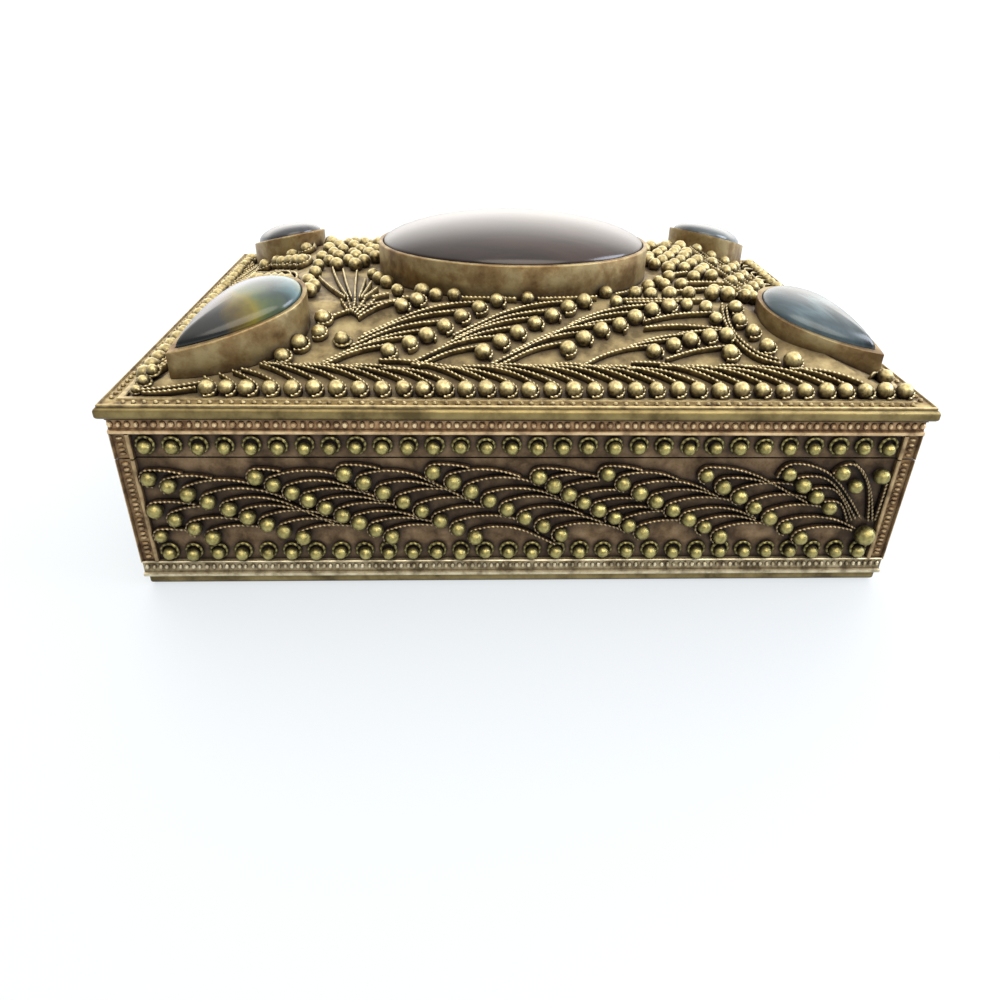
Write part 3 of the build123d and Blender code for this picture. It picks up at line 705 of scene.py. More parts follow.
# Wires of one chain, lowest first: each rises over its bead and sweeps down on the wire below it
def addChainWires(bm, place, ahead, chain, look, hand, isFreeOf):
    slant = math.radians(look["slant"])
    below = []
    for number, (middle, radius) in reversed(list(enumerate(chain))):
        hook = radius / mm + look["hookGap"]
        if "arc" in look:
            rise = look["rise"] * (1 if number else chainWire["endRise"])
            sweep = chance.uniform(*look["arc"]) * (1 if number else chainWire["endSweep"])
        else:
            rise = 0
            drop = hook + (hook + look["shaftGap"] + look["drift"] * number) / math.cos(slant)
            sweep = (math.tan(slant) * ahead - drop) / (1 / math.cos(slant) - 1)
            sweep = max(look["tightest"], min(look["widest"], sweep))
            sweep *= chance.uniform(*chainWire["sweepSpread"])
        isFree = isFreeOf(middle)
        lower = below[::2]

        def isOpen(spot):
            return isFree(spot) and all((spot - other).length > look["wireRoom"] * mm for other in lower)

        path = wirePath(
            middle, chainWire["start"] - chance.uniform(0, chainWire["startSpread"]), hook,
            ((hook, rise), (sweep, -look["slant"])),
            look["tail"] + chance.uniform(-chainWire["tailSpread"], chainWire["tailSpread"]),
            hand, isOpen)
        addWire(bm, place, path, chance.uniform(*chainWire["heights"]))
        below = path


sameBall = 0.3  # middles nearer than this, in mm, are the same ball


def ballsAbout(middle, balls, reach):
    gaps = [((other - middle).length, other, radius) for other, radius in balls]
    return [(other.xy, radius) for gap, other, radius in gaps if sameBall * mm < gap < reach * mm]


def clearOf(spot, balls, room):
    return all((other - spot).length > radius + room * mm for other, radius in balls)


# Panels of the walls

panel = {
    "slant": 28.5, "hookGap": 0.17, "rise": 25, "arc": (9.5, 12), "wireRoom": 0.26,
    "tail": 6, "reach": 24, "edgeRoom": 0.25, "beadRoom": 0.2, "ball": 1.05, "drawnFrom": 30,
}
# Chains on the front as the photograph has them: first and last middle in mm, and how many beads
frontChains = (
    ((-47.5, 12.1), (-40.8, 7.9), 4), ((-47.5, 16.8), (-28.9, 7.8), 9), ((-34.1, 17.1), (-17.3, 7.9), 9),
    ((-22.9, 17.6), (-6.0, 7.8), 8), ((-11.5, 17.7), (5.3, 8.2), 8), ((2.0, 17.1), (16.4, 8.5), 8),
    ((10.8, 17.5), (27.1, 7.9), 8), ((24.0, 17.3), (38.4, 7.6), 7), ((34.7, 17.6), (41.4, 12.4), 4),
    ((41.9, 17.7), (44.1, 15.6), 2),
)
frontStrays = ((-47.6, 8.1, 0.95), (47.0, 17.2, 1.15), (47.1, 8.2, 1.35))
# Wires that gather in the front's right-hand corner, through points in mm
frontCornerWires = (
    ((33.3, 17.0), (33.6, 19.1), (37.5, 19.0), (42.0, 16.6), (46.1, 10.6)),
    ((36.0, 16.9), (38.5, 17.6), (42.0, 15.6), (45.5, 10.4)),
    ((38.2, 15.2), (40.6, 15.9), (43.2, 13.6), (44.9, 10.3)),
    ((40.4, 13.3), (42.2, 13.6), (43.6, 12.0), (44.3, 10.2)),
    ((40.6, 17.6), (41.6, 19.2), (44.2, 18.7), (46.8, 14.5), (47.8, 10.2)),
    ((43.3, 19.0), (45.4, 17.0), (46.6, 13.5), (47.2, 10.3)),
    ((48.2, 16.0), (48.3, 13.5), (48.1, 10.4)),
)


# Where the leg of a corner strip on a wall is looked for, in mm: between these heights, past this u
legBand = {"low": -0.1, "high": 0.7, "past": 20}


# Points of the corner strips in a wall's own measures, and how far out its legs start
def cornerLegs(place, node):
    back = place.inverted()
    points = [back @ v for solid in solidsOf(node) for v in solid]
    onWall = [p for p in points if legBand["low"] * mm < p.z < legBand["high"] * mm]
    return points, min(abs(p.x) for p in onWall if abs(p.x) > legBand["past"] * mm)


def panelBalls(side):
    if side != "front":
        return ballsOn(wallPlace(side), solidsOf(f"{side}_panel_beads"))
    balls = [(Vector((u * mm, v * mm, 0)), radius * mm) for u, v, radius in frontStrays]
    for first, last, count in frontChains:
        for step in range(count):
            spot = Vector((*first, 0)).lerp(Vector((*last, 0)), step / (count - 1))
            balls.append((spot * mm, panel["ball"] * mm))
    return balls


def buildPanel(side):
    place = wallPlace(side)
    balls = panelBalls(side)
    inner = cornerLegs(place, "body_corner_strips")[1]
    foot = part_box("foot_rosettes")[1].z
    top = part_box(f"{side}_wall")[1].z
    bm, worn = newWornMesh()
    for middle, radius in balls:
        addBead(bm, place, middle, radius, worn)
    finishPiece(
        f"{side}PanelBeads", bm, shadedWallBeadBrass, "box", [f"{side}_panel_beads"])

    room = panel["edgeRoom"] * mm
    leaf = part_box("hinge_body_leaf")

    def isFreeOf(middle):
        near = ballsAbout(middle, balls, panel["reach"])

        def isFree(spot):
            inside = abs(spot.x) < inner - room and foot - room < spot.y < top - room
            underLeaf = side == "back" and abs(spot.x) < leaf[1].x + room and spot.y > leaf[0].z - room
            return inside and not underLeaf and clearOf(spot, near, panel["beadRoom"])

        return isFree

    bm = newWornMesh()[0]
    for ahead, chain in chainsOf(balls, 1, panel["slant"]):
        if side == "front" and chain[0][0].x > panel["drawnFrom"] * mm:
            continue  # the wires of these are drawn below, through given points
        addChainWires(bm, place, ahead, chain, panel, 1, isFreeOf)
    if side == "front":
        for points in frontCornerWires:
            addWire(bm, place, drawnPath(points))
    finishPiece(
        f"{side}PanelWires", bm, shadedWallWireBrass, "box", [f"{side}_panel_wires"])


# Rows of ring-set beads

rosette = {"ball": 0.9, "low": 0.18, "high": 0.14}


def buildRosettes(node, name, body):
    solids = solidsOf(node)
    bm, worn = newWornMesh()
    for side in sides:
        place = wallPlace(side)
        for middle, radius in ballsOn(place, solids):
            addRing(bm, place, middle + Vector((0, rosette["high"] * mm, 0)), radius)
            addBead(bm, place, middle - Vector((0, rosette["low"] * mm, 0)), rosette["ball"] * mm, worn)
    finishPiece(name, bm, shadedWallBeadBrass, body, [node])


for side in sides:
    buildPanel(side)
buildRosettes("foot_rosettes", "footRosettes", "box")
buildRosettes("skirt_rosettes", "skirtRosettes", "lid")
print("panels built")


# Rims of the bezels in plan, which the lid's wires stop at

def rimLoop(node):
    bm = mergedCopy(node)
    loop = walkLoop([e for e in bm.edges if sum(f.normal.z > 0.9 for f in e.link_faces) == 1])
    bm.free()
    return [point.xy for point in loop]


rimPoints = 48
bezelNodes = ["oval_bezel"] + [f"{corner}_bezel" for corner in corners]
rims = []
for node in bezelNodes:
    loop = rimLoop(node)
    loop = loop[::max(1, len(loop) // rimPoints)]
    centre = sum(loop, Vector((0, 0))) / len(loop)
    rims.append((loop, centre, max((point - centre).length for point in loop)))


def rimDistance(point, rim):
    nearest = math.inf
    inside = False
    for a, b in zip(rim, rim[1:] + rim[:1]):
        if (a.y > point.y) != (b.y > point.y):
            if point.x < a.x + (b.x - a.x) * (point.y - a.y) / (b.y - a.y):
                inside = not inside
        share = max(0, min(1, intersect_point_line(point, a, b)[1]))
        nearest = min(nearest, (a.lerp(b, share) - point).length)
    return -nearest if inside else nearest


def clearOfStones(point, room):
    for loop, centre, reach in rims:
        if (point - centre).length < reach + room * mm and rimDistance(point, loop) < room * mm:
            return False
    return True


# Slopes of the lid

slope = {
    "slant": 35.2, "hookGap": 0.17, "shaftGap": 0.2, "drift": 0.2, "tightest": 7, "widest": 24,
    "wireRoom": 0.22, "tail": 5, "reach": 24, "edgeRoom": 0.3, "beadRoom": 0.18, "stoneRoom": 0.45,
    "rowFoot": 0.3, "chainFoot": 3.6,
}
# Wires of the row along the foot rise over their beads in fans of four
footRow = {
    "height": 1.8, "hookGap": 0.2, "rise": 48, "sweep": 13.5, "less": 0.9, "fan": 4, "tail": 1.5,
    "start": 285, "startSpread": 30, "sweepSpread": (0.96, 1.04), "heights": (0.9, 1.0),
}
# The front slope as the photograph has it, in mm: chains from the top down, beads with a short hook
# of wire, the row along the foot, beads in a ring or alone, and wires drawn through given points
frontLid = {
    "ball": 1.08, "ahead": 10.5, "rowHeight": 1.05, "ringRoom": 0.3,
    "hook": {"start": 300, "rise": (10, 40), "tail": 0.4},
    "chains": (
        ((-3.1, 18.3), (-5.6, 16.8), (-8.0, 14.9), (-10.3, 12.8), (-12.6, 11.0), (-14.9, 9.5),
         (-17.5, 7.9)),
        ((8.9, 18.4), (6.6, 17.1), (4.3, 15.2), (1.9, 13.7), (-0.5, 11.7), (-2.8, 9.8), (-5.2, 7.9)),
        ((20.8, 17.5), (18.2, 16.6), (15.8, 15.1), (13.3, 13.4), (10.7, 12.3), (8.3, 10.7),
         (5.9, 8.6)),
        ((27.6, 11.5), (25.2, 11.2), (22.6, 10.5), (20.0, 9.5), (17.4, 8.3)),
        ((-14.0, 18.4), (-16.2, 17.0)),
    ),
    "hooked": (
        (-26.5, 14.5, 1.05), (-26.9, 11.7, 1.0), (-29.0, 9.4, 1.1), (-30.9, 7.0, 1.0), (30.1, 17.3, 1.05),
        (30.1, 14.7, 1.0), (31.5, 12.4, 1.05), (32.8, 9.4, 1.1), (35.5, 6.6, 1.25), (27.5, 8.1, 1.1),
    ),
    "row": (
        -39.3, -36.9, -34.3, -31.7, -29.0, -26.3, -23.5, -20.7, -18.0, -15.3, -12.6, -10.1, -7.5, -4.9,
        -2.2, 0.5, 3.3, 6.0, 8.6, 11.3, 13.9, 16.5, 19.2, 21.9, 24.7, 27.4, 30.1, 32.8, 35.6, 38.4, 40.9,
        43.5, 46.1, 48.6,
    ),
    "rings": ((-46.6, 4.3, 0.8), (-47.4, 2.6, 0.75), (-47.9, 1.2, 0.6), (-23.6, 10.3, 1.0)),
    "alone": ((26.8, 14.9, 1.0), (13.5, 18.3, 0.95), (23.4, 17.9, 0.95), (25.9, 17.4, 0.95)),
    "wires": (
        ((-38.3, 0.6), (-38.6, 2.3), (-40.2, 2.1), (-43.0, 1.4), (-45.5, 0.9), (-47.9, 0.7)),
        ((-40.6, 1.2), (-43.0, 0.7), (-45.2, 0.3), (-47.0, 0.3)),
        ((28.4, 18.2), (28.0, 15.5), (28.3, 12.0), (29.6, 8.9), (31.5, 6.8), (33.9, 6.1)),
        ((29.0, 17.8), (28.5, 15.3), (28.8, 12.2), (30.0, 9.6), (31.6, 7.7), (33.8, 6.9)),
        ((28.0, 14.2), (28.0, 16.2), (25.6, 16.3), (20.2, 15.7), (16.9, 14.3)),
        ((28.8, 7.6), (28.7, 9.6), (25.5, 9.2), (22.0, 8.4), (18.7, 6.8)),
        ((27.3, 12.9), (23.2, 13.6), (19.5, 13.5), (16.6, 13.0)),
        ((22.3, 18.5), (19.0, 18.55), (14.9, 18.3)),
        ((-16.6, 18.5), (-18.6, 17.6), (-20.6, 16.1), (-21.9, 14.6)),
        ((-22.9, 16.0), (-23.3, 17.3), (-23.6, 18.6)), ((-22.7, 15.8), (-22.6, 17.2), (-22.6, 18.6)),
        ((-22.4, 15.5), (-21.7, 17.0), (-21.3, 18.5)), ((-22.1, 15.1), (-20.9, 16.8), (-19.9, 18.4)),
        ((-23.2, 15.9), (-24.0, 17.2), (-24.6, 18.5)),
    ),
}


def ballsOf(points):
    return [(Vector((u, v, 0)) * mm, radius * mm) for u, v, radius in points]


def buildSlope(side):
    place = slopePlace(side)
    if side == "front":
        ball = frontLid["ball"]
        chains = [
            (frontLid["ahead"], ballsOf((u, v, ball) for u, v in chain)) for chain in frontLid["chains"]]
        row = ballsOf((u, frontLid["rowHeight"], ball) for u in frontLid["row"])
        alone, rings, hooked = (ballsOf(frontLid[kind]) for kind in ("alone", "rings", "hooked"))
    else:
        balls = ballsOn(place, solidsOf(f"{side}_slope_beads"))
        row = sorted((b for b in balls if b[0].y < footRow["height"] * mm), key=lambda ball: ball[0].x)
        chains = list(chainsOf([ball for ball in balls if ball not in row], -1, slope["slant"]))
        alone = rings = hooked = []
    balls = row + alone + rings + hooked + [ball for ahead, chain in chains for ball in chain]
    bm, worn = newWornMesh()
    for middle, radius in rings:
        addRing(bm, place, middle, radius + frontLid["ringRoom"] * mm)
    for middle, radius in balls:
        addBead(bm, place, middle, radius, worn)
    finishPiece(
        f"{side}SlopeBeads", bm, grainedBeadBrass, "lid", [f"{side}_slope_beads"])

    low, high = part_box("lid_top")
    half = alongSide(side, high)
    length = slopeLength()
    shrink = math.sqrt(length ** 2 - (high.z - low.z) ** 2) / length
    room = slope["edgeRoom"] * mm

    def isFreeOf(middle, lowest=slope["rowFoot"]):
        near = ballsAbout(middle, balls, slope["reach"])

        def isFree(spot):
            inside = lowest * mm < spot.y < length - room and abs(spot.x) < half - spot.y * shrink - room
            return inside and clearOf(spot, near, slope["beadRoom"]) and clearOfStones(
                (place @ Vector((spot.x, spot.y, 0))).xy, slope["stoneRoom"])

        return isFree

    bm = newWornMesh()[0]
    for number, (middle, radius) in enumerate(row):
        hook = radius / mm + footRow["hookGap"]
        sweep = footRow["sweep"] - footRow["less"] * (number % footRow["fan"])
        path = wirePath(
            middle, footRow["start"] - chance.uniform(0, footRow["startSpread"]), hook,
            ((hook, footRow["rise"]), (sweep * chance.uniform(*footRow["sweepSpread"]), 0)),
            footRow["tail"], -1, isFreeOf(middle))
        addWire(bm, place, path, chance.uniform(*footRow["heights"]))
    lowest = footRow["height"] + slope["chainFoot"]
    for ahead, chain in chains:
        addChainWires(bm, place, ahead, chain, slope, -1, lambda middle: isFreeOf(middle, lowest))
    short = frontLid["hook"]
    for middle, radius in hooked:
        hook = radius / mm + footRow["hookGap"]
        path = wirePath(
            middle, short["start"], hook, ((hook, chance.uniform(*short["rise"])),), short["tail"], -1,
            isFreeOf(middle))
        addWire(bm, place, path, wire["low"])
    if side == "front":
        for points in frontLid["wires"]:
            addWire(bm, place, drawnPath(points))
    finishPiece(
        f"{side}SlopeWires", bm, twistedWireBrass, "lid", [f"{side}_slope_wires"])


for side in sides:
    buildSlope(side)


# The crown: a field of beads, with what the photograph shows beside the oval in mm.
# A bead of the field is left out where a wire or an added bead stands.
crown = {
    "loose": 0.32, "sizes": (0.88, 1.06), "room": 0.25,
    "wires": (
        ((-23.7, -16.6), (-26.2, -9.5), (-28.0, -1.0)), ((-23.2, -16.6), (-24.9, -9.5), (-26.2, -2.3)),
        ((-22.7, -16.6), (-23.5, -9.5), (-24.0, -3.0)), ((-22.1, -16.6), (-22.1, -12.0), (-22.2, -8.0)),
        ((-24.1, -16.6), (-27.0, -12.0), (-29.2, -6.5)), ((-21.8, -16.6), (-21.4, -12.5), (-21.2, -9.2)),
        ((-21.4, -16.6), (-20.6, -14.5), (-20.0, -12.0)),
        ((-20.3, -16.6), (-19.3, -15.6), (-18.2, -14.9)), ((-16.2, -16.6), (-14.6, -16.3), (-12.9, -16.6)),
        ((-8.0, -16.4), (-4.0, -16.5), (-0.3, -16.7)), ((2.6, -16.6), (6.5, -16.2), (11.2, -15.4)),
        ((26.0, -16.4), (20.0, -16.4), (14.6, -16.6)), ((31.0, -9.9), (27.7, -10.5), (22.3, -12.5)),
        ((27.4, -1.5), (24.0, -2.9), (21.4, -5.3)), ((31.5, -7.5), (27.4, -6.9), (24.0, -7.8)),
        ((18.6, -10.8), (16.5, -12.6), (13.9, -14.0)),
    ),
    "balls": (
        (-11.6, -15.7, 1.0), (-9.1, -15.6, 0.95), (-17.0, -13.7, 1.0), (-18.9, -9.6, 1.0),
        (-20.3, -7.6, 1.0), (-21.4, -5.2, 0.95), (1.2, -16.7, 0.95), (12.7, -13.6, 0.95),
        (19.4, -10.4, 1.0), (21.6, -7.4, 0.9), (23.6, -4.9, 1.0),
    ),
}
crownPlace = Matrix.Translation((0, 0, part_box("lid_top")[1].z))
crownPaths = [drawnPath(points) for points in crown["wires"]]
crownAdded = ballsOf(crown["balls"])
wireSpots = [spot for path in crownPaths for spot in path[::2]]
bm, worn = newWornMesh()
for middle, radius in ballsOn(crownPlace, solidsOf("crown_beads")):
    taken = any((spot - middle.xy).length < radius + crown["room"] * mm for spot in wireSpots)
    if taken or any((other - middle).length < radius + size for other, size in crownAdded):
        continue
    loose = Vector((chance.uniform(-1, 1), chance.uniform(-1, 1), 0)) * crown["loose"] * mm
    addBead(bm, crownPlace, middle + loose, radius * chance.uniform(*crown["sizes"]), worn)
for middle, radius in crownAdded:
    addBead(bm, crownPlace, middle, radius, worn)
finishPiece("crownBeads", bm, grainedBeadBrass, "lid", ["crown_beads"])
bm = newWornMesh()[0]
for path in crownPaths:
    addWire(bm, crownPlace, path, wire["low"])
finishPiece("crownWires", bm, twistedWireBrass, "lid")
print("lid filigree built")


# Beaded strips: a bar with a narrow rail, a row of pearls and a wide rail

strip = {
    "thickness": 0.8, "floor": 0.35, "round": 0.12, "railAbove": 0.1, "railWorn": 0.5, "borderWidth": 2.6,
    "around": 8, "rings": 5, "slip": 0.05, "endRoom": 0.5, "lastRoom": 0.4, "sizes": (0.8, 1.1),
    "squash": (0.85, 1), "rubbed": (0.45, 1.1), "rubbedGain": 3, "rubbedLess": 0.15,
    # rails and pearls of each kind of strip; the first rail is the outer or lower one
    "border": {"first": 0.3, "last": 0.85, "pearl": 0.33, "oblong": 1.0, "rise": 0.4, "pitch": 1.3},
    "skirt": {"first": 0.6, "last": 0.22, "pearl": 0.4, "oblong": 1.3, "rise": 0.42, "pitch": 1.06},
    "foot": {"first": 0.6, "last": 0.22, "pearl": 0.32, "oblong": 1.35, "rise": 0.38, "pitch": 0.88},
    "corner": {"first": 0.3, "last": 0.55, "pearl": 0.27, "oblong": 1.9, "rise": 0.36, "pitch": 0.74},
}


def addStrip(bm, place, length, width, thickness, worn, kind, mitre=0.0, turned=False):
    look = strip[kind]
    first, last = (look["last"], look["first"]) if turned else (look["first"], look["last"])
    full, floor = thickness, thickness * strip["floor"] / strip["thickness"]
    cut = strip["round"]
    outline = [
        (0, 0), (0, full - cut), (cut, full), (first - cut, full), (first, floor),
        (width - last, floor), (width - last + cut, full), (width - cut, full), (width, full - cut),
        (width, 0),
    ]
    start = [bm.verts.new((-length / 2, v * mm, w * mm)) for v, w in outline]
    face = bm.faces.new(start)
    made = bmesh.ops.extrude_face_region(bm, geom=[face], use_keep_orig=True)
    end = [item for item in made["geom"] if isinstance(item, bmesh.types.BMVert)]
    bmesh.ops.translate(bm, vec=(length, 0, 0), verts=end)
    for vert in start + end:
        if mitre:
            vert.co.x += math.copysign(1, -vert.co.x) * vert.co.y * mitre
        vert[worn] = strip["railWorn"] if vert.co.z > floor * mm + strip["railAbove"] * mm else 0.0
    bmesh.ops.transform(bm, matrix=place, verts=start + end)

    radius = look["pearl"]
    row = (first + width - last) / 2
    run = length / mm - 2 * (width if mitre else strip["endRoom"]) + strip["lastRoom"]
    count = int(run / look["pitch"])
    back = place.inverted()
    for index in range(count + 1):
        u = (index - count / 2) * look["pitch"] + chance.gauss(0, strip["slip"])
        oblong = min(look["oblong"], (width - first - last) / 2 / radius)
        size = chance.uniform(*strip["sizes"])
        stretch = Matrix.Diagonal(
            (size, oblong * chance.uniform(*strip["squash"]), look["rise"] / radius, 1))
        at = place @ Matrix.Translation((u * mm, row * mm, floor * mm)) @ stretch
        pearl = bmesh.ops.create_uvsphere(
            bm, u_segments=strip["around"], v_segments=strip["rings"], radius=radius * mm, matrix=at)
        rubbed = strip["rubbedGain"] * chance.uniform(*strip["rubbed"])
        for vert in pearl["verts"]:
            height = (back @ vert.co).z / mm - floor
            vert[worn] = max(0, min(1, height * rubbed - strip["rubbedLess"]))


def buildSideStrip(side, node, name, material, body, kind):
    low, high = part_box(node)
    thickness = min(high.x - low.x, high.y - low.y) / mm
    foot = wallPlace(side) @ Matrix.Translation((0, low.z, 0))
    bm, worn = newWornMesh()
    length = alongSide(side, high) - alongSide(side, low)
    addStrip(bm, foot, length, (high.z - low.z) / mm, thickness, worn, kind)
    finishPiece(name, bm, material, body, [node], smooth=False)


def buildCornerStrips(node, name, body):
    low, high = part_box(node)
    bm, worn = newWornMesh()
    for side in sides:
        place = wallPlace(side)
        points, inner = cornerLegs(place, node)
        outer = max(p.x for p in points)
        thickness = max(p.z for p in points) / mm
        if side in ("left", "right"):
            outer -= thickness * mm  # the front and back legs cover the corner
        width = (outer - inner) / mm
        middle = (low.z + high.z) / 2
        for hand in (-1, 1):
            edge = Matrix.Translation((inner + width * mm if hand > 0 else -inner, middle, 0))
            upright = place @ edge @ Matrix.Rotation(math.radians(90), 4, "Z")
            addStrip(bm, upright, high.z - low.z, width, thickness, worn, "corner", turned=hand < 0)
    finishPiece(name, bm, cornerStripBrass, body, [node], smooth=False)


for side in sides:
    buildSideStrip(side, f"{side}_foot_strip", f"{side}FootStrip", footStripBrass, "box", "foot")
    buildSideStrip(side, f"{side}_skirt_strip", f"{side}SkirtStrip", skirtStripBrass, "lid", "skirt")
buildCornerStrips("body_corner_strips", "bodyCornerStrips", "box")
buildCornerStrips("lid_corner_strips", "lidCornerStrips", "lid")

low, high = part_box("border_strips")
bm, worn = newWornMesh()
for side in sides:
    along, outward = sideAxes(side)
    length, depth = high.xy if side in ("front", "back") else high.yx
    place = placeOn((along, -outward, Vector((0, 0, 1))), outward * depth + Vector((0, 0, low.z)))
    addStrip(
        bm, place, 2 * length, strip["borderWidth"], (high.z - low.z) / mm, worn, "border", mitre=1.0)
finishPiece("borderStrips", bm, borderStripBrass, "lid", ["border_strips"], smooth=False)
print("strips built")


# Stones: cabochons with a smooth dome over the outline of the CAD stone

stone = {"around": 72, "rings": 10, "girdle": 1.8, "apex": 0.35, "ovalFlatness": 1.35}


# Even points round the foot of a stone, the way it faces, how high it reaches that way
def footLoop(node, count):
    bm = mergedCopy(node)
    normal = min(bm.faces, key=lambda f: f.normal.z).normal.copy()
    flat = {face for face in bm.faces if face.normal.dot(normal) > 0.999}
    points = walkLoop([e for e in bm.edges if sum(face in flat for face in e.link_faces) == 1])
    points.append(points[0])
    top = max(vert.co.dot(-normal) for vert in bm.verts)
    bm.free()
    lengths = [(b - a).length for a, b in zip(points, points[1:])]
    total = sum(lengths)
    even = []
    for index in range(count):
        reach = total * index / count
        spot = 0
        while reach > lengths[spot]:
            reach -= lengths[spot]
            spot += 1
        even.append(points[spot].lerp(points[spot + 1], reach / lengths[spot]))
    return even, -normal, top


def buildStone(node, name, look, slot, flatness=1.0):
    loop, normal, top = footLoop(node, stone["around"])
    if slot == "oval_agate":
        start, far = min(loop, key=lambda p: p.x), max(loop, key=lambda p: p.x)
    else:
        start = max(loop, key=lambda p: abs(p.x) + abs(p.y))
        far = max(loop, key=lambda p: (p - start).length)
    axis = far - start
    material = polishedAgate(f"{name}Agate", start, math.atan2(axis.y, axis.x), axis.length, look)
    bm = bmesh.new()
    verts = [bm.verts.new(point) for point in loop]
    edges = list(bm.faces.new(verts).edges)

    def nextRing(edges):
        made = bmesh.ops.extrude_edge_only(bm, edges=edges)
        verts = [item for item in made["geom"] if isinstance(item, bmesh.types.BMVert)]
        known = set(verts)
        return verts, [
            item for item in made["geom"]
            if isinstance(item, bmesh.types.BMEdge) and all(v in known for v in item.verts)]

    verts, edges = nextRing(edges)
    bmesh.ops.translate(bm, vec=(0, 0, stone["girdle"] * mm), verts=verts)
    centre = sum(loop, Vector()) / len(loop) + Vector((0, 0, stone["girdle"] * mm))
    dome = top - centre.dot(normal)
    scale = 1.0
    height = 0.0
    for index in range(1, stone["rings"] + 1):
        angle = math.pi / 2 * index / (stone["rings"] + stone["apex"])
        verts, edges = nextRing(edges)
        shrink = math.cos(angle) / scale
        rise = dome * math.sin(angle) ** flatness - height
        bmesh.ops.scale(bm, vec=(shrink,) * 3, space=Matrix.Translation(-centre), verts=verts)
        bmesh.ops.translate(bm, vec=normal * rise, verts=verts)
        centre += normal * rise
        height += rise
        scale = math.cos(angle)
    bmesh.ops.holes_fill(bm, edges=edges, sides=stone["around"])
    return finishPiece(name, bm, material, "lid", [node])


buildStone("oval_stone", "ovalStone", ovalLook, "oval_agate", stone["ovalFlatness"])
for corner in corners:
    near, hand = corner.split("_")
    buildStone(f"{corner}_stone", f"{near}{hand.capitalize()}Stone", pearLooks[corner], "pear_agate")
print("stones built")


# Linings: velvet over card with a thin wadding, so its edges are soft

lining = {"edge": 0.5, "roundest": 0.45, "thickness": 0.9}
velvet = cottonVelvet()


def roundedSlab(bm, low, high):
    made = bmesh.ops.create_cube(bm, size=1)
    size = high - low
    bmesh.ops.scale(bm, vec=size, verts=made["verts"])
    bmesh.ops.translate(bm, vec=(low + high) / 2, verts=made["verts"])
    edges = list({e for v in made["verts"] for e in v.link_edges})
    radius = min(lining["edge"] * mm, min(size) * lining["roundest"])
    bmesh.ops.bevel(
        bm, geom=edges, offset=radius, segments=3, profile=0.5, affect="EDGES", material=-1)


for node, name, body in (("floor_lining", "floorLining", "box"), ("lid_lining", "lidLining", "lid")):
    low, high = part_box(node)
    bm = bmesh.new()
    roundedSlab(bm, low, high)
    finishPiece(name, bm, velvet, body, [node])

low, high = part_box("wall_lining")
pad = lining["thickness"] * mm
bm = bmesh.new()
roundedSlab(bm, low, Vector((high.x, low.y + pad, high.z)))
roundedSlab(bm, Vector((low.x, high.y - pad, low.z)), high)
roundedSlab(bm, Vector((low.x, low.y + pad, low.z)), Vector((low.x + pad, high.y - pad, high.z)))
roundedSlab(bm, Vector((high.x - pad, low.y + pad, low.z)), Vector((high.x, high.y - pad, high.z)))
finishPiece("wallLining", bm, velvet, "box", ["wall_lining"])


# CAD nodes that stay: their brass, and how far their edges are softened, in mm

finishes = {
    "base_plate": (plateBrass, 0), "lid_plate": (plateBrass, 0.12), "lid_top": (litLidSheetBrass, 0),
    "hinge_body_leaf": (hingeBrass, 0.12), "hinge_lid_leaf": (hingeBrass, 0.12),
    "hinge_pin": (hingeBrass, 0.08),
    **{f"{side}_{part}": (shadedWallSheetBrass, 0) for side in sides for part in ("wall", "skirt")},
    **{node: (burnishedBezelBrass, 0.22) for node in bezelNodes},
}
for node, (material, bevel) in finishes.items():
    finishNode(node, material, bevel)
print("linings, plates, bezels and hinge finished")


# Floor, lights and camera

studio = {
    "floor": "#616467", "floorLight": "#eff4f8", "floorGlow": 0.7, "floorRough": 0.6, "floorReach": 4,
    "backdrop": 2.0, "window": 1.4, "darkRoom": 0.42, "roomTint": "#fefaf5",
    "slant": (0.15, 0.55, 0.8), "slantFrom": -0.2, "slantTo": 0.65, "behindFrom": 0.1, "behindTo": 0.7,
    "windowHeight": ((0.02, "#000000"), (0.25, "#ffffff"), (0.55, "#ffffff"), (0.8, "#000000")),
}
lamps = {
    "key": {"power": 3.2, "size": 0.6, "place": (0.06, -0.42, 0.5), "colour": "#fff5e5"},
    "sideWindow": {"power": 5.0, "size": 0.44, "place": (0.62, -0.06, 0.36), "colour": "#e6eeff"},
}


def makeFloor():
    material = newMaterial("paleTable", {
        "Base Color": hexColour(studio["floor"]), "Roughness": studio["floorRough"],
        "Emission Color": hexColour(studio["floorLight"]), "Emission Strength": studio["floorGlow"]})[0]
    bm = bmesh.new()
    bmesh.ops.create_grid(bm, x_segments=2, y_segments=2, size=studio["floorReach"])
    table = addObject("table", meshFrom("table", bm))
    table.data.materials.append(material)


def makeLamp(name, look):
    light = bpy.data.lights.new(name, "AREA")
    light.shape = "DISK"
    light.energy = look["power"]
    light.size = look["size"]
    light.color = hexColour(look["colour"])[:3]
    lamp = addObject(name, light)
    lamp.location = look["place"]
    lamp.rotation_mode = "QUATERNION"
    lamp.rotation_quaternion = (-Vector(look["place"])).to_track_quat("-Z", "Y")


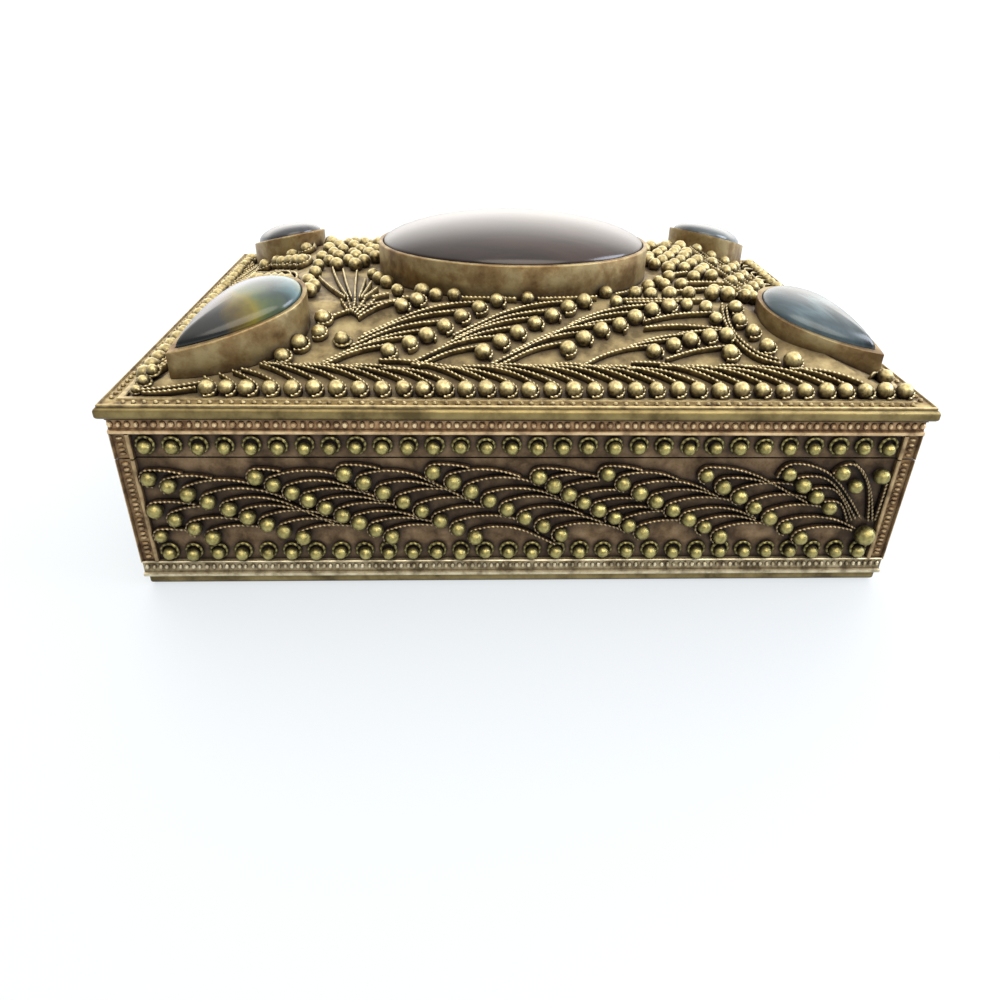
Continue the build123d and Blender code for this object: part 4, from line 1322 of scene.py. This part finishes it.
# A white tent open at the front: bright above, brightest at the wide window behind the box,
# which the stones mirror, and darker where the camera stands
def makeTent():
    world = bpy.data.worlds.new("tent")
    world.use_nodes = True
    tree = world.node_tree
    way = addNode(tree, "TexCoord", {}).outputs["Generated"]
    slant = addNode(tree, "VectorMath", {"operation": "DOT_PRODUCT", 1: studio["slant"]}, {0: way})
    light = addNode(
        tree, "MapRange",
        {"interpolation_type": "SMOOTHSTEP", "From Min": studio["slantFrom"],
         "From Max": studio["slantTo"], "To Min": studio["darkRoom"], "To Max": studio["backdrop"]},
        {"Value": slant.outputs["Value"]})
    split = addNode(tree, "SeparateXYZ", {}, {"Vector": way})
    behind = addNode(
        tree, "MapRange",
        {"interpolation_type": "SMOOTHSTEP", "From Min": studio["behindFrom"],
         "From Max": studio["behindTo"], "To Max": studio["window"]},
        {"Value": split.outputs["Y"]})
    height = addNode(
        tree, "ValToRGB", {"stops": studio["windowHeight"]}, {"Fac": split.outputs["Z"]})
    total = addNode(
        tree, "Math", {"operation": "MULTIPLY_ADD"}, {0: behind, 1: height, 2: light})
    sky = tree.nodes["Background"]
    sky.inputs["Color"].default_value = hexColour(studio["roomTint"])
    feed(tree, sky, {"Strength": total})
    bpy.context.scene.world = world


# The photograph's camera, worked out from the box's straight edges, in mm and degrees
cameraAt = {
    "lens": 28.276, "sensor": 36.0, "place": (-7.541, -124.845, 66.324),
    "pitch": 30.779, "yaw": 2.962, "roll": -1.436,
}


def makeCamera():
    pitch, yaw, roll = (math.radians(cameraAt[name]) for name in ("pitch", "yaw", "roll"))
    forward = Vector((
        math.sin(yaw) * math.cos(pitch), math.cos(yaw) * math.cos(pitch), -math.sin(pitch)))
    level = Vector((math.cos(yaw), -math.sin(yaw), 0))
    below = forward.cross(level)
    right = level * math.cos(roll) + below * math.sin(roll)
    down = below * math.cos(roll) - level * math.sin(roll)
    data = bpy.data.cameras.new("camera")
    data.sensor_width = cameraAt["sensor"]
    data.lens = cameraAt["lens"]
    data.clip_start = 0.005
    camera = addObject("camera", data)
    camera.matrix_world = placeOn((right, -down, -forward), Vector(cameraAt["place"]) * mm)
    bpy.context.scene.camera = camera


makeFloor()
for name, look in lamps.items():
    makeLamp(name, look)
makeTent()
bpy.context.scene.view_settings.view_transform = "Standard"
makeCamera()
print("stage and camera set")
